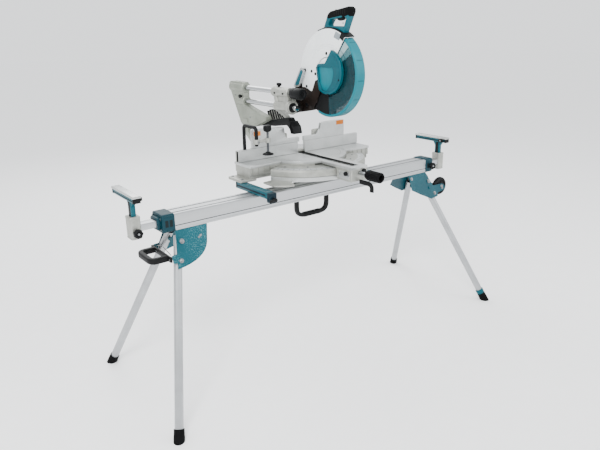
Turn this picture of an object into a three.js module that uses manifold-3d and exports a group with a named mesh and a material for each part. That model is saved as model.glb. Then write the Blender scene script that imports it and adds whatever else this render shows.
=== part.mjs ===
// Sliding compound mitre saw clamped on a folding, extending stand.
// Millimetres, +Z up, floor at z = 0. +X runs along the rail to the wheel end, -Y faces the user.
import * as THREE from 'three';
import { mergeVertices } from 'three/addons/utils/BufferGeometryUtils.js';
import Module from 'manifold-3d';

const wasm = await Module();
wasm.setup();

// ---- driving dimensions -------------------------------------------------------------
const gap = 0.4;                                  // clearance between touching pieces
const rail = { half: 714, halfWidth: 43, bottom: 685, top: 750 };
const arm = { halfWidth: 20, bottom: 704, top: 730, inner: 80, postX: 860 };
const tableZ = 850;                               // saw table and both work supports
const leg = { radius: 16.5, wall: 2, footX: 903 };
const pivot = { x: 710, leftZ: 640, rightZ: 600, inset: 19, radius: 5 };
const splay = Math.tan(THREE.MathUtils.degToRad(24.6)); // slant of bracket plates and legs
const plate = 4;                                  // bracket sheet thickness
const bladeX = 60;                                // plane of the saw blade
const mitreY = 163;                               // mitre axis, on the fence face
const turntableRadius = 210;
const baseBottom = 778;
const rods = { x: -40, radius: 12.5, topZ: 1140, lowZ: 1076 };
const chop = { y: 150, z: 1076 };                 // head hinge, along X
const arbor = { y: -57, z: 1226 };                // blade axis with the head raised
const guard = { radius: 187, left: 33, right: 87, skin: 3 };
const blade = { radius: 152.5, thickness: 2.4, teeth: 48 };
const wheel = { x: 812, y: 60, z: 597, radius: 48, width: 22 };
const frontMost = -368;                           // end of the mitre grip
const rearMost = 614;                             // back of the slide arm
const midY = (frontMost + rearMost) / 2;

// ---- solid helpers ------------------------------------------------------------------
function toSolid(geometry) {
  const bare = geometry.clone();
  bare.deleteAttribute('normal');
  bare.deleteAttribute('uv');
  const merged = mergeVertices(bare, 1e-4);
  return new wasm.Manifold(new wasm.Mesh({
    numProp: 3,
    vertProperties: new Float32Array(merged.attributes.position.array),
    triVerts: new Uint32Array(merged.index.array),
  }));
}

function toGeometry(solid) {
  const mesh = solid.getMesh();
  const geometry = new THREE.BufferGeometry();
  geometry.setAttribute('position', new THREE.BufferAttribute(mesh.vertProperties, 3));
  geometry.setIndex(new THREE.BufferAttribute(mesh.triVerts, 1));
  geometry.computeVertexNormals();
  return geometry;
}

const axisX = new THREE.Vector3(1, 0, 0);
const axisY = new THREE.Vector3(0, 1, 0);
const axisZ = new THREE.Vector3(0, 0, 1);

function box(x0, x1, y0, y1, z0, z1) {
  const geometry = new THREE.BoxGeometry(x1 - x0, y1 - y0, z1 - z0);
  geometry.translate((x0 + x1) / 2, (y0 + y1) / 2, (z0 + z1) / 2);
  return toSolid(geometry);
}

// Round bar between two points; endRadius makes it a taper.
function bar(from, to, radius, sides = 16, endRadius = radius) {
  const start = new THREE.Vector3(...from);
  const end = new THREE.Vector3(...to);
  const along = end.clone().sub(start);
  const geometry = new THREE.CylinderGeometry(endRadius, radius, along.length(), sides);
  const turn = new THREE.Quaternion().setFromUnitVectors(axisY, along.clone().normalize());
  geometry.applyQuaternion(turn);
  geometry.translate(...start.add(end).multiplyScalar(0.5).toArray());
  return toSolid(geometry);
}

const outline = (points) => new THREE.Shape(points.map(([u, v]) => new THREE.Vector2(u, v)));

function extrude(shape, depth, curveSegments) {
  return new THREE.ExtrudeGeometry(shape, { depth, bevelEnabled: false, curveSegments });
}

// Outline in (y, z), drawn out along X.
function prismX(shape, x0, x1, segments = 8) {
  const geometry = extrude(shape, x1 - x0, segments);
  geometry.applyMatrix4(new THREE.Matrix4().makeBasis(axisY, axisZ, axisX));
  return toSolid(geometry.translate(x0, 0, 0));
}

// Outline in (x, z), drawn out along Y.
function prismY(shape, y0, y1, segments = 6) {
  const geometry = extrude(shape, y1 - y0, segments);
  geometry.applyMatrix4(new THREE.Matrix4().makeBasis(axisX, axisZ, axisY.clone().negate()));
  return toSolid(geometry.translate(0, y1, 0));
}

// Outline in (x, y), drawn out along Z.
function prismZ(shape, z0, z1, segments = 8) {
  return toSolid(extrude(shape, z1 - z0, segments).translate(0, 0, z0));
}

function roundedRect(u0, u1, v0, v1, r) {
  const shape = new THREE.Shape();
  shape.moveTo(u0 + r, v0);
  shape.lineTo(u1 - r, v0);
  shape.absarc(u1 - r, v0 + r, r, -Math.PI / 2, 0);
  shape.lineTo(u1, v1 - r);
  shape.absarc(u1 - r, v1 - r, r, 0, Math.PI / 2);
  shape.lineTo(u0 + r, v1);
  shape.absarc(u0 + r, v1 - r, r, Math.PI / 2, Math.PI);
  shape.lineTo(u0, v0 + r);
  shape.absarc(u0 + r, v0 + r, r, Math.PI, Math.PI * 1.5);
  return shape;
}

// Slice of a disc, or of a ring when inner is given; angles in degrees.
function sector(u, v, outer, from, to, inner = 0) {
  const a = THREE.MathUtils.degToRad(from);
  const b = THREE.MathUtils.degToRad(to);
  const shape = new THREE.Shape();
  shape.absarc(u, v, outer, a, b, false);
  if (inner > 0) shape.absarc(u, v, inner, b, a, true);
  else shape.lineTo(u, v);
  shape.closePath();
  return shape;
}

function spin(profile, segments = 16) {
  return new THREE.LatheGeometry(profile.map(([r, h]) => new THREE.Vector2(r, h)), segments);
}

// Square-cornered path of a round bar, for bent handles and rods.
function bentBar(points, radius, sides = 12) {
  let solid = null;
  for (let i = 0; i + 1 < points.length; i += 1) {
    const piece = bar(points[i], points[i + 1], radius, sides);
    solid = solid ? solid.add(piece) : piece;
    if (i > 0) {
      const knuckle = new THREE.SphereGeometry(radius * 1.02, sides, sides / 2);
      solid = solid.add(toSolid(knuckle.translate(...points[i])));
    }
  }
  return solid;
}

const union = (...solids) => solids.reduce((sum, solid) => sum.add(solid));

function paint(color, roughness, metalness = 0) {
  return new THREE.MeshStandardMaterial({ color, roughness, metalness });
}

const teal = paint(0x11808a, 0.4);
const tealCasting = paint(0x1d6f7c, 0.5);
const white = paint(0xeceeee, 0.35);
const silver = paint(0xb9bbbb, 0.35, 0.8);
const castSilver = paint(0xb4b6b0, 0.5, 0.6);
const castGrey = paint(0x9a9f97, 0.55, 0.4);
const steel = paint(0xd6d8da, 0.2, 1);
const black = paint(0x1d1e20, 0.6);
const rubber = paint(0x151515, 0.9);
const smoke = new THREE.MeshStandardMaterial({ color: 0x274046, transparent: true, opacity: 0.45 });

const saw = new THREE.Group();
const assembly = new THREE.Group();
assembly.position.y = -midY;
saw.add(assembly);

function place(name, solid, material, group = assembly) {
  const mesh = new THREE.Mesh(toGeometry(solid), material);
  mesh.name = name;
  group.add(mesh);
  return mesh;
}

// ---- rail ---------------------------------------------------------------------------
function makeRail() {
  const { halfWidth: w, bottom, top, half } = rail;
  const lip = 1.6;
  const slot = { inner: 15, outer: 25, depth: 5 };
  const groove = { low: 702, high: 705, depth: 1.5 };
  const side = [
    [w + lip, bottom], [w + lip, bottom + 6], [w, bottom + 7.5], [w, groove.low],
    [w - groove.depth, groove.low], [w - groove.depth, groove.high], [w, groove.high],
    [w, top - 4], [w - 4, top], [slot.outer, top], [slot.outer, top - slot.depth],
    [slot.inner, top - slot.depth], [slot.inner, top],
  ];
  const mirrored = side.map(([y, z]) => [-y, z]).reverse();
  const shape = outline([...side, ...mirrored]);
  const wall = w - 3.5;
  const cavities = [
    [arm.halfWidth + gap, arm.bottom - gap, arm.top + gap],
    [wall, bottom + 3.5, arm.bottom - 4],
    [wall, arm.top + 4, top - slot.depth - 3.5],
  ];
  for (const [halfSpan, low, high] of cavities) {
    shape.holes.push(outline([[-halfSpan, low], [-halfSpan, high], [halfSpan, high], [halfSpan, low]]));
  }
  for (const s of [-1, 1]) {
    const inner = arm.halfWidth + 4;
    shape.holes.push(outline([[s * inner, arm.bottom], [s * wall, arm.bottom],
      [s * wall, arm.top], [s * inner, arm.top]]));
  }
  place('rail', prismX(shape, -half, half), silver);
}

// ---- rail ends: cap, extension arm, work support and their two lock knobs ------------
// Drawn for the right end; the left end is the same set turned half round.
function makeKnob(radius, depth) {
  const grip = spin([[0, 0], [radius * 0.75, 0], [radius, depth * 0.2], [radius, depth * 0.85],
    [radius * 0.85, depth], [radius * 0.35, depth], [radius * 0.3, depth * 0.8], [0, depth * 0.8]], 14);
  return toSolid(grip);
}

// Knob with its stem, pointing out of the front or the rear face of what it clamps.
function placeKnob(name, group, x, faceY, z, stemLength) {
  const radius = 18;
  const standOff = 3;
  const outward = Math.sign(faceY);
  const knob = makeKnob(radius, 21).add(bar([0, -standOff - stemLength, 0], [0, 1, 0], 5, 8));
  const mesh = place(name, knob, black, group);
  mesh.rotation.x = outward < 0 ? Math.PI : 0;
  mesh.position.set(x, faceY + outward * standOff, z);
}

function makeRailEnd(side, group) {
  const channel = box(600, 900, -arm.halfWidth - gap, arm.halfWidth + gap, arm.bottom - gap, arm.top + gap);
  const capKnob = { x: 750, z: 715, face: -46.5 };
  const cap = union(
    prismX(roundedRect(-46.5, 46.5, 681, 754, 14), rail.half + gap, 766, 4),
    prismX(roundedRect(-31, 31, 693, 742, 12), 765, 780, 3),
  ).subtract(channel).subtract(bar([capKnob.x, -60, capKnob.z], [capKnob.x, 0, capKnob.z], 5.6, 8));
  place(`${side}_end_cap`, cap, tealCasting, group);
  placeKnob(`${side}_arm_knob`, group, capKnob.x, capKnob.face, capKnob.z, 25);

  const head = { x0: 840, x1: 881, halfWidth: 25, bottom: 676, top: 764 };
  const post = { halfX: 9, halfY: 15, bottom: 692, top: 823 };
  const postSlot = box(arm.postX - post.halfX - gap, arm.postX + post.halfX + gap,
    -post.halfY - gap, post.halfY + gap, post.bottom - 2, head.top + 1);
  const postKnob = { x: arm.postX, z: 702, face: head.halfWidth };
  const bracket = union(
    box(arm.inner, head.x0 + 5, -arm.halfWidth, arm.halfWidth, arm.bottom, arm.top),
    prismZ(roundedRect(head.x0, head.x1, -head.halfWidth, head.halfWidth, 8), head.bottom, head.top, 2),
  ).subtract(postSlot)
    .subtract(box(arm.inner - 1, 820, -arm.halfWidth + 3, arm.halfWidth - 3, arm.bottom + 3, arm.top - 3))
    .subtract(bar([postKnob.x, post.halfY, postKnob.z], [postKnob.x, 40, postKnob.z], 5.6, 8));
  place(`${side}_extension_arm`, bracket, silver, group);
  placeKnob(`${side}_post_knob`, group, postKnob.x, postKnob.face, postKnob.z, 9.3);

  const front = side === 'left' ? 1 : -1;         // the left end is turned, so its front is +Y here
  const tee = { front: 60, rear: -150, halfX: 14, bottom: 822, top: 841 };
  const [y0, y1] = [front * tee.front, front * tee.rear].sort((a, b) => a - b);
  const lug = [front * (tee.front - 42), front * (tee.front - 14)].sort((a, b) => a - b);
  const support = union(
    box(arm.postX - post.halfX, arm.postX + post.halfX, -post.halfY, post.halfY, post.bottom, post.top),
    box(arm.postX - tee.halfX, arm.postX + tee.halfX, y0, y1, tee.bottom, tee.top),
    box(arm.postX - tee.halfX - 14, arm.postX - 10, lug[0], lug[1], tee.bottom + 4, tee.top),
  ).subtract(box(arm.postX - 5, arm.postX + 5, -post.halfY + 4, post.halfY - 4, post.bottom - 1, 810));
  place(`${side}_support_post`, support, teal, group);
  const strip = prismY(roundedRect(arm.postX - 17, arm.postX + 17, tee.top + gap, tableZ, 3), y0, y1, 3);
  place(`${side}_rest_strip`, strip, silver, group);
}

// ---- folding legs --------------------------------------------------------------------
const plateY = (z) => rail.halfWidth + (rail.bottom - z) * splay;   // inner face of a bracket plate

// Points of the front leg on one side: pivot centre and foot centre.
function legLine(side) {
  const sign = side === 'left' ? -1 : 1;
  const z = side === 'left' ? pivot.leftZ : pivot.rightZ;
  const hinge = new THREE.Vector3(sign * pivot.x, -(plateY(z) - pivot.inset), z);
  const footY = plateY(0) - pivot.inset;
  const foot = new THREE.Vector3(sign * leg.footX, -footY, 0);
  return { hinge, foot, along: foot.clone().sub(hinge).normalize() };
}

const slantNormal = new THREE.Vector3(0, -1, splay).normalize();    // out of the front plate

function makeFrontLeg(side, name, group) {
  const { hinge, foot, along } = legLine(side);
  const at = (distance) => hinge.clone().addScaledVector(along, distance).toArray();
  const length = hinge.distanceTo(foot);
  const footTop = length - 42;
  const pin = [hinge.clone().addScaledVector(slantNormal, -30).toArray(),
    hinge.clone().addScaledVector(slantNormal, 30).toArray()];
  const tube = bar(at(-22), at(footTop + 8), leg.radius, 14)
    .subtract(bar(at(-23), at(footTop + 9), leg.radius - leg.wall, 14))
    .subtract(bar(pin[0], pin[1], pivot.radius + gap, 10));
  place(`${name}_leg`, tube, silver, group);
  const floor = box(hinge.x - 900, hinge.x + 900, -900, 900, 0, 400);
  let shoe = bar(at(footTop), at(length + 20), leg.radius + 3, 14, leg.radius + 5).intersect(floor);
  if (name === 'front_right') {
    shoe = shoe.add(bar(at(footTop - 22), at(footTop + 2), leg.radius + 2.5, 14));
  }
  shoe = shoe.subtract(bar(at(footTop - 30), at(footTop + 8 + gap), leg.radius + gap, 14));
  place(`${name}_foot`, shoe, rubber, group);
}

// ---- leg brackets --------------------------------------------------------------------
function bracketShell(shape, side) {
  const { hinge } = legLine(side);
  const low = 540;
  const top = rail.bottom - gap;
  const sheet = (s) => outline([[s * plateY(top), top], [s * plateY(low), low],
    [s * (plateY(low) + plate), low], [s * (plateY(top) + plate), top]]);
  const cross = box(-712, 712, -plateY(top) - 1, plateY(top) + 1, top - 5, top);
  const walls = union(prismX(sheet(-1), -1000, 1000), prismX(sheet(1), -1000, 1000), cross);
  let shell = walls.intersect(prismY(shape, -150, 150, 8));
  for (const s of [-1, 1]) {
    const out = slantNormal.clone();
    const centre = hinge.clone();
    if (s > 0) {
      out.y *= -1;
      centre.y *= -1;
    }
    const inner = centre.clone().addScaledVector(out, -leg.radius - 3);
    const outer = centre.clone().addScaledVector(out, pivot.inset * 0.914 + plate + 4);
    const rivet = centre.clone().addScaledVector(out, pivot.inset * 0.914 + plate - 1);
    const washer = inner.clone().addScaledVector(out, -4);
    shell = union(shell, bar(washer.toArray(), outer.toArray(), pivot.radius, 10),
      bar(rivet.toArray(), outer.toArray(), 9, 10),
      bar(washer.toArray(), inner.toArray(), 9, 10));
  }
  return shell;
}

function makeLeftBracket() {
  const shape = new THREE.Shape();
  shape.moveTo(-717, rail.bottom);
  shape.lineTo(-734, 603);
  shape.lineTo(-757, 601);
  shape.lineTo(-757, 575);
  shape.lineTo(-741, 573);
  shape.lineTo(-745, 552);
  shape.quadraticCurveTo(-624, 562, -600, 622);
  shape.lineTo(-581, rail.bottom);
  place('left_leg_bracket', bracketShell(shape, 'left'), teal);
}

function makeRightBracket() {
  const shape = new THREE.Shape();
  shape.moveTo(588, rail.bottom);
  shape.lineTo(580, 614);
  shape.lineTo(632, 587);
  shape.lineTo(700, 555);
  shape.lineTo(752, 560);
  shape.lineTo(762, 576);
  shape.lineTo(wheel.x - 4, wheel.z - 16);
  shape.absarc(wheel.x - 2, wheel.z, 16, -Math.PI / 2, Math.PI / 2, false);
  shape.lineTo(740, 614);
  shape.lineTo(711, rail.bottom);
  const axle = bar([wheel.x, -94, wheel.z], [wheel.x, 94, wheel.z], 6, 16);
  place('right_leg_bracket', bracketShell(shape, 'right').add(axle), teal);
}

function makeWheel(name, y) {
  const half = wheel.width / 2;
  const tyre = spin([[7, -half], [14, -half], [34, -7], [36, -half], [wheel.radius - 4, -half],
    [wheel.radius, -7], [wheel.radius, 7], [wheel.radius - 4, half], [36, half], [34, 7], [14, half],
    [7, half], [7, -half]], 24);
  const mesh = place(name, toSolid(tyre), black);
  mesh.position.set(wheel.x, y, wheel.z);
}

// ---- carry handles -------------------------------------------------------------------
function makeHandles() {
  const outerU = roundedRect(-113, 85, 590, 740, 38);
  const innerU = roundedRect(-89, 61, 614, 760, 18);
  const under = box(-200, 200, -20, 20, 500, rail.bottom - gap);
  const feet = union(box(-119, -83, -20, 20, 676, rail.bottom - gap),
    box(55, 91, -20, 20, 676, rail.bottom - gap));
  const centre = prismY(outerU, -13, 13, 6).subtract(prismY(innerU, -14, 14, 6)).intersect(under).add(feet);
  place('centre_handle', centre, black);

  const loop = { z: 588, outX: -840, inX: -757 - gap, halfY: 72, thick: 22 };
  const ring = prismZ(roundedRect(loop.outX, -700, -loop.halfY, loop.halfY, 26),
    loop.z - loop.thick / 2, loop.z + loop.thick / 2, 5)
    .subtract(prismZ(roundedRect(loop.outX + 24, -680, -loop.halfY + 24, loop.halfY - 24, 12),
      loop.z - 20, loop.z + 20, 4))
    .intersect(box(-900, loop.inX, -200, 200, 500, 700));
  const root = box(loop.inX - 9, loop.inX, -91, 91, loop.z - 11, loop.z + 11);
  place('end_handle', ring.add(root), black);
}

// ---- saw mounts ----------------------------------------------------------------------
function makeMount(side, x0, width) {
  const outward = side === 'left' ? -1 : 1;
  const x1 = x0 + width;
  const top = baseBottom - gap;
  const bottom = rail.top + gap;
  const wall = 4;
  const body = union(box(x0, x1, -112, 134, bottom, top), box(x0, x1, -134, -110, 736, top))
    .subtract(box(x0 + wall, x1 - wall, -108, 135, bottom + wall, top - wall));
  place(`${side}_mount_bar`, body, teal);
  const leverX = x0 + width / 2;
  const lever = bar([leverX, -154, 752], [leverX, -134 - gap, 752], 8, 12)
    .add(bar([leverX, -148, 752], [leverX + outward * 30, -154, 752], 6, 10, 8));
  place(`${side}_clamp_lever`, lever, black);
}

// ---- saw base, fence and turntable -----------------------------------------------------
const base = { left: bladeX - 352, right: bladeX + 352, front: 72, rear: 205 };

function makeBase() {
  const { left, right, front, rear } = base;
  const column = (z0, z1, radius) => bar([bladeX, mitreY, z0], [bladeX, mitreY, z1], radius, 36);
  const wings = box(left, right, front, rear, 806, tableZ)
    .subtract(box(left + 8, right - 8, front + 8, rear - 8, 800, 842));
  const well = column(700, 900, turntableRadius + 1);
  const drum = column(baseBottom, 832, turntableRadius + 9);
  const floorPlate = column(baseBottom, 790, turntableRadius + 5);
  const behind = box(-400, 500, rear - 9, 600, 792, 900).intersect(column(790, 900, turntableRadius + 30));
  const scale = prismZ(sector(bladeX, mitreY, 300, 205, 335, turntableRadius + 2), 798, 831, 20);
  const footing = [
    box(left - 44, left + 40, 84, 196, baseBottom, 790), box(left, left + 40, 84, 196, 786, 844),
    box(right - 190, right - 100, 84, 196, baseBottom, 790), box(right - 110, right, 84, 196, 786, 806),
    box(right - 40, right, 84, 196, 786, 844), box(left + 30, left + 150, 92, 112, 782, 844),
    box(right - 165, right - 35, 92, 112, 786, 844),
    box(bladeX - 212, bladeX - 168, -38, -4, baseBottom, 812),
  ];
  const shell = union(wings, drum, scale, ...footing).subtract(well).subtract(behind);
  const spigotHole = bar([bladeX, mitreY, 700], [bladeX, mitreY, 900], 32, 20);
  place('saw_base', union(shell, floorPlate).subtract(spigotHole), castSilver);
}

const fence = { y: mitreY, back: 178, left: base.left - 4, right: base.right + 4, top: 903 };

function makeFence() {
  const bottom = tableZ + gap;
  const lower = union(
    box(fence.left, bladeX - 24, fence.y, fence.back, bottom, fence.top),
    box(bladeX + 16, fence.right, fence.y, fence.back, bottom, fence.top),
    box(bladeX - 60, bladeX + 60, fence.back - 2, fence.back + 24, bottom, 862),
    box(fence.left, fence.left + 34, fence.y, 186, bottom, fence.top),
  ).subtract(box(bladeX - 24, bladeX + 16, 150, fence.back + 8, 840, 900));
  const viseHole = bar([viseRod.x, viseRod.rearY, 856], [viseRod.x, viseRod.rearY, 910], viseRod.radius + gap, 12);
  const pad = box(viseRod.x - 14, viseRod.x + 14, fence.y, viseRod.rearY + 13, bottom, fence.top);
  place('lower_fence', lower.add(pad).subtract(viseHole), castSilver);
}

// Sliding upper fence: a face above the lower fence and a tail that runs behind it.
function makeUpperFence(side, shape) {
  const face = prismY(shape, fence.y, fence.back + 9, 8);
  const below = box(-500, 500, fence.y - 1, fence.back + gap, 800, fence.top + gap);
  place(`${side}_upper_fence`, face.subtract(below), white);
}

function makeUpperFences() {
  const left = new THREE.Shape();
  left.moveTo(-220, 878);
  left.lineTo(-10, 878);
  left.lineTo(-10, fence.top + gap);
  left.lineTo(bladeX - 15, fence.top + gap);
  left.lineTo(bladeX - 15, 926);
  left.lineTo(-22, 926);
  left.quadraticCurveTo(-40, 930, -44, 982);
  left.lineTo(-220, 990);
  makeUpperFence('left', left);
  const right = new THREE.Shape();
  right.moveTo(325, 878);
  right.lineTo(325, 981);
  right.lineTo(178, 981);
  right.quadraticCurveTo(170, 930, 146, 926);
  right.lineTo(bladeX + 12, 926);
  right.lineTo(bladeX + 12, fence.top + gap);
  right.lineTo(128, fence.top + gap);
  right.lineTo(128, 878);
  makeUpperFence('right', right);
}

const lowerPole = { offset: 45, z: 816, radius: 12, front: 205 };

function makeTurntable() {
  const centre = (z0, z1, radius, sides = 36) => bar([bladeX, mitreY, z0], [bladeX, mitreY, z1], radius, sides);
  const skirt = centre(803, 840, turntableRadius - 1).subtract(centre(802, 838, turntableRadius - 9));
  const armTop = outline([[bladeX - 52, 0], [bladeX - 46, -238], [bladeX + 46, -238], [bladeX + 52, 0]]);
  const toe = outline([[bladeX - 46, -144], [bladeX - 46, -238], [bladeX + 46, -238], [bladeX + 46, -144]]);
  const guide = box(bladeX - 68, bladeX + 68, 300, 362, 800, 840);
  const block = union(
    centre(838, tableZ, turntableRadius - 1), skirt, centre(792, 840, 28, 18),
    prismZ(armTop, 833, tableZ), prismZ(toe, 785, tableZ), guide,
  );
  const trough = box(bladeX - 20, bladeX + 20, -212, 196, 837, tableZ + 1);
  const toeHollow = box(bladeX - 40, bladeX + 40, -228, -150, 780, 829);
  let table = block.subtract(trough).subtract(toeHollow);
  for (const s of [-1, 1]) {
    const x = bladeX + s * lowerPole.offset;
    table = table.subtract(bar([x, 290, lowerPole.z], [x, 420, lowerPole.z], lowerPole.radius + gap, 16));
  }
  place('turntable', table, castSilver);
  const kerf = box(bladeX - 20 + gap, bladeX + 20 - gap, -212 + gap, 196 - gap, 846, tableZ - 0.3)
    .subtract(box(bladeX - 10, bladeX + 10, -200, 180, 840, 860));
  place('kerf_plate', kerf, black);
}

function makeMitreControls() {
  const z = 822;
  const profile = [[0, 0], [8, 0], [8, 42], [17, 46], [22, 56], [22, 118], [19, 129.6], [13, 129.6],
    [12, 112], [0, 112]];
  const grip = place('mitre_grip', toSolid(spin(profile, 18)), black);
  grip.rotation.x = Math.PI;
  grip.position.set(bladeX, -238 - gap, z);
  const lever = union(box(bladeX - 10, bladeX + 10, -312, -240, 780, 788),
    box(bladeX - 11, bladeX + 11, -322, -306, 750, 788));
  place('mitre_lever', lever, black);
}

// ---- slide hub, bevel arm and upper rods -----------------------------------------------
function makeSlideHub() {
  let hub = union(box(bladeX - 62, bladeX + 62, 426, 447, 792, 880),
    bar([bladeX, 440, tableZ], [bladeX, 506, tableZ], 20, 20));
  for (const s of [-1, 1]) {
    const x = bladeX + s * lowerPole.offset;
    hub = hub.add(bar([x, lowerPole.front, lowerPole.z], [x, 430, lowerPole.z], lowerPole.radius, 16));
  }
  place('slide_hub', hub, castSilver);
}

function makeRearArm() {
  const profile = new THREE.Shape();
  profile.moveTo(480, 1166);
  profile.lineTo(596, 1168);
  profile.quadraticCurveTo(622, 1162, 610, 1132);
  profile.lineTo(512, 956);
  profile.lineTo(400, 956);
  profile.lineTo(288, 1000);
  profile.lineTo(296, 1016);
  profile.lineTo(430, 1046);
  profile.lineTo(480, 1060);
  const plateBody = prismX(profile, rods.x - 17, rods.x + 17, 6);
  const bosses = union(
    bar([rods.x, 478, rods.topZ], [rods.x, 606, rods.topZ], 26, 18),
    bar([rods.x, 478, rods.lowZ], [rods.x, 560, rods.lowZ], 24, 18),
  );
  const foot = outline([[rods.x - 20, 990], [rods.x + 18, 990], [rods.x + 20, 936], [bladeX + 46, 880],
    [bladeX + 40, 820], [bladeX - 50, 820], [rods.x - 20, 930]]);
  const hubDisc = bar([bladeX, 450, tableZ], [bladeX, 502, tableZ], 56, 24);
  const lowerArm = union(prismY(foot, 452, 500), hubDisc);
  const bores = union(
    bar([rods.x, 470, rods.topZ], [rods.x, 590, rods.topZ], rods.radius + gap, 16),
    bar([rods.x, 470, rods.lowZ], [rods.x, 545, rods.lowZ], rods.radius + gap, 16),
    bar([bladeX, 440, tableZ], [bladeX, 510, tableZ], 20 + gap, 20),
  );
  place('rear_arm', union(plateBody, bosses, lowerArm).subtract(bores), castGrey);
  place('top_rod', bar([rods.x, 46, rods.topZ], [rods.x, 589, rods.topZ], rods.radius), steel);
  place('bottom_rod', bar([rods.x, 64, rods.lowZ], [rods.x, 544, rods.lowZ], rods.radius), steel);
  const cap = spin([[rods.radius + gap, 0], [25, 0], [25, 64], [21, 70], [9, 70], [8, 60], [0, 60], [0, 46],
    [rods.radius + gap, 46], [rods.radius + gap, 0]], 16);
  const capMesh = place('rod_cap', toSolid(cap), black);
  capMesh.rotation.x = Math.PI;
  capMesh.position.set(rods.x, 92, rods.topZ);
}

// ---- carriage and dust chute --------------------------------------------------------------
function makeCarriage() {
  const x = rods.x;
  const upper = bar([x, 112, rods.topZ], [x, 238, rods.topZ], 22.5, 18);
  const lower = bar([x, 100, rods.lowZ], [x, 222, rods.lowZ], 22.5, 18);
  const ring = bar([x, 96, rods.lowZ], [x, 112, rods.lowZ], 31, 18);
  const web = box(x - 14, x + 14, 114, 218, rods.lowZ, rods.topZ);
  const cheek = outline([[112, 1056], [112, 1112], [136, 1150], [196, 1150], [206, 1070], [170, 1046], [122, 1046]]);
  const ear = union(prismX(cheek, x + 10, -9, 8), bar([x + 14, chop.y, chop.z], [-9, chop.y, chop.z], 33, 18));
  const pin = bar([-12, chop.y, chop.z], [92, chop.y, chop.z], 11, 16);
  const bores = union(
    bar([x, 60, rods.topZ], [x, 300, rods.topZ], rods.radius + gap, 16),
    bar([x, 60, rods.lowZ], [x, 300, rods.lowZ], rods.radius + gap, 16),
  );
  place('carriage', union(upper, lower, ring, web, ear).subtract(bores).add(pin), castSilver);
}

function makeDustChute() {
  const duct = outline([[419, 958], [419, 984], [285, 1000], [195, 1018], [175, 1020], [131, 972], [127, 952],
    [147, 952], [185, 984], [285, 968]]);
  const hoodShape = outline([[365, 988], [335, 1036], [297, 1048], [235, 1048], [187, 1016]]);
  const body = prismX(duct, -12, 26);
  const mouth = prismX(outline([[121, 950], [131, 984], [158, 1008], [158, 976], [147, 950]]), -18, 31);
  const hood = prismX(hoodShape, -8, 20);
  const throat = prismX(outline([[115, 956], [139, 966], [181, 1006], [275, 992], [425, 978], [425, 964],
    [275, 976], [181, 990], [141, 956], [115, 946]]), -8, 22);
  place('dust_chute', union(body, mouth, hood).subtract(throat), black);
}

// ---- saw head --------------------------------------------------------------------------------
const atArbor = (x0, x1, radius, sides = 24) => bar([x0, arbor.y, arbor.z], [x1, arbor.y, arbor.z], radius, sides);

function makeUpperGuard() {
  const { radius, left, right, skin } = guard;
  const slice = prismX(sector(arbor.y, arbor.z, radius, -58, 126), left, right, 20);
  const tongue = outline([[arbor.y + 134, arbor.z + 92], [chop.y + 16, chop.z + 50],
    [chop.y - 20, chop.z + 14], [chop.y - 56, chop.z + 6], [arbor.y + 70, arbor.z - 130]]);
  const arms = union(prismX(tongue, left, left + skin), prismX(tongue, right - skin, right));
  const hub = union(atArbor(left, left + skin, 72), atArbor(right - skin, right, 72));
  const guardSeat = atArbor(right - skin - 5, right - skin + 1, 35.4, 20);
  const cavity = atArbor(left + skin, right - skin, radius - skin, 40);
  const shell = union(slice.subtract(cavity), hub, arms.subtract(cavity), guardSeat);
  const clearHinge = bar([left - 5, chop.y, chop.z], [right + 5, chop.y, chop.z], 34, 18);
  place('upper_guard', shell.subtract(clearHinge).subtract(atArbor(right - 10, right + 5, 20, 16)), white);
}

function makeHingeBlock() {
  const side = guard.left + guard.skin + gap;
  const far = guard.right - guard.skin - gap;
  const shape = outline([[chop.y + 12, chop.z + 30], [chop.y - 10, chop.z + 100], [chop.y - 128, chop.z - 2],
    [chop.y - 80, chop.z - 16], [chop.y - 10, chop.z - 31]]);
  const block = union(prismX(shape, side, far), bar([-8, chop.y, chop.z], [far, chop.y, chop.z], 32, 18));
  const clear = atArbor(-50, 150, guard.radius + 1, 40);
  const bore = bar([-50, chop.y, chop.z], [150, chop.y, chop.z], 11 + gap, 16);
  place('hinge_block', block.subtract(clear).subtract(bore), black);
}

function makeCentreCover() {
  const shape = new THREE.Shape();
  shape.absarc(arbor.y - 12, arbor.z + 10, 94, THREE.MathUtils.degToRad(106), THREE.MathUtils.degToRad(306), false);
  shape.lineTo(arbor.y + 62, arbor.z + 26);
  shape.lineTo(arbor.y + 50, arbor.z + 42);
  shape.lineTo(arbor.y + 2, arbor.z + 46);
  const face = guard.left - gap;
  const cover = prismX(shape, face - 14, face, 14);
  const dish = prismX(roundedRect(arbor.y - 48, arbor.y + 38, arbor.z - 62, arbor.z + 22, 16), face - 20, face - 9, 4);
  place('centre_cover', cover.subtract(dish), teal);
}

function makeLowerGuard() {
  const rim = { radius: guard.radius - guard.skin - 1.5, wall: 5, from: 127, to: 292, left: 36.6, right: 83.4 };
  const ring = prismX(sector(arbor.y, arbor.z, rim.radius, rim.from, rim.to, rim.radius - rim.wall),
    rim.left, rim.right, 20);
  place('guard_rim', ring, teal);
  const glassRadius = rim.radius - rim.wall - gap;
  for (const [side, x0] of [['left', 37.5], ['right', 80]]) {
    const pane = union(prismX(sector(arbor.y, arbor.z, glassRadius, rim.from, rim.to), x0, x0 + 2.5, 20),
      atArbor(x0, x0 + 2.5, 62, 20)).subtract(atArbor(x0 - 5, x0 + 10, 36, 20));
    place(`${side}_guard_window`, pane, smoke);
  }
}

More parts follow.
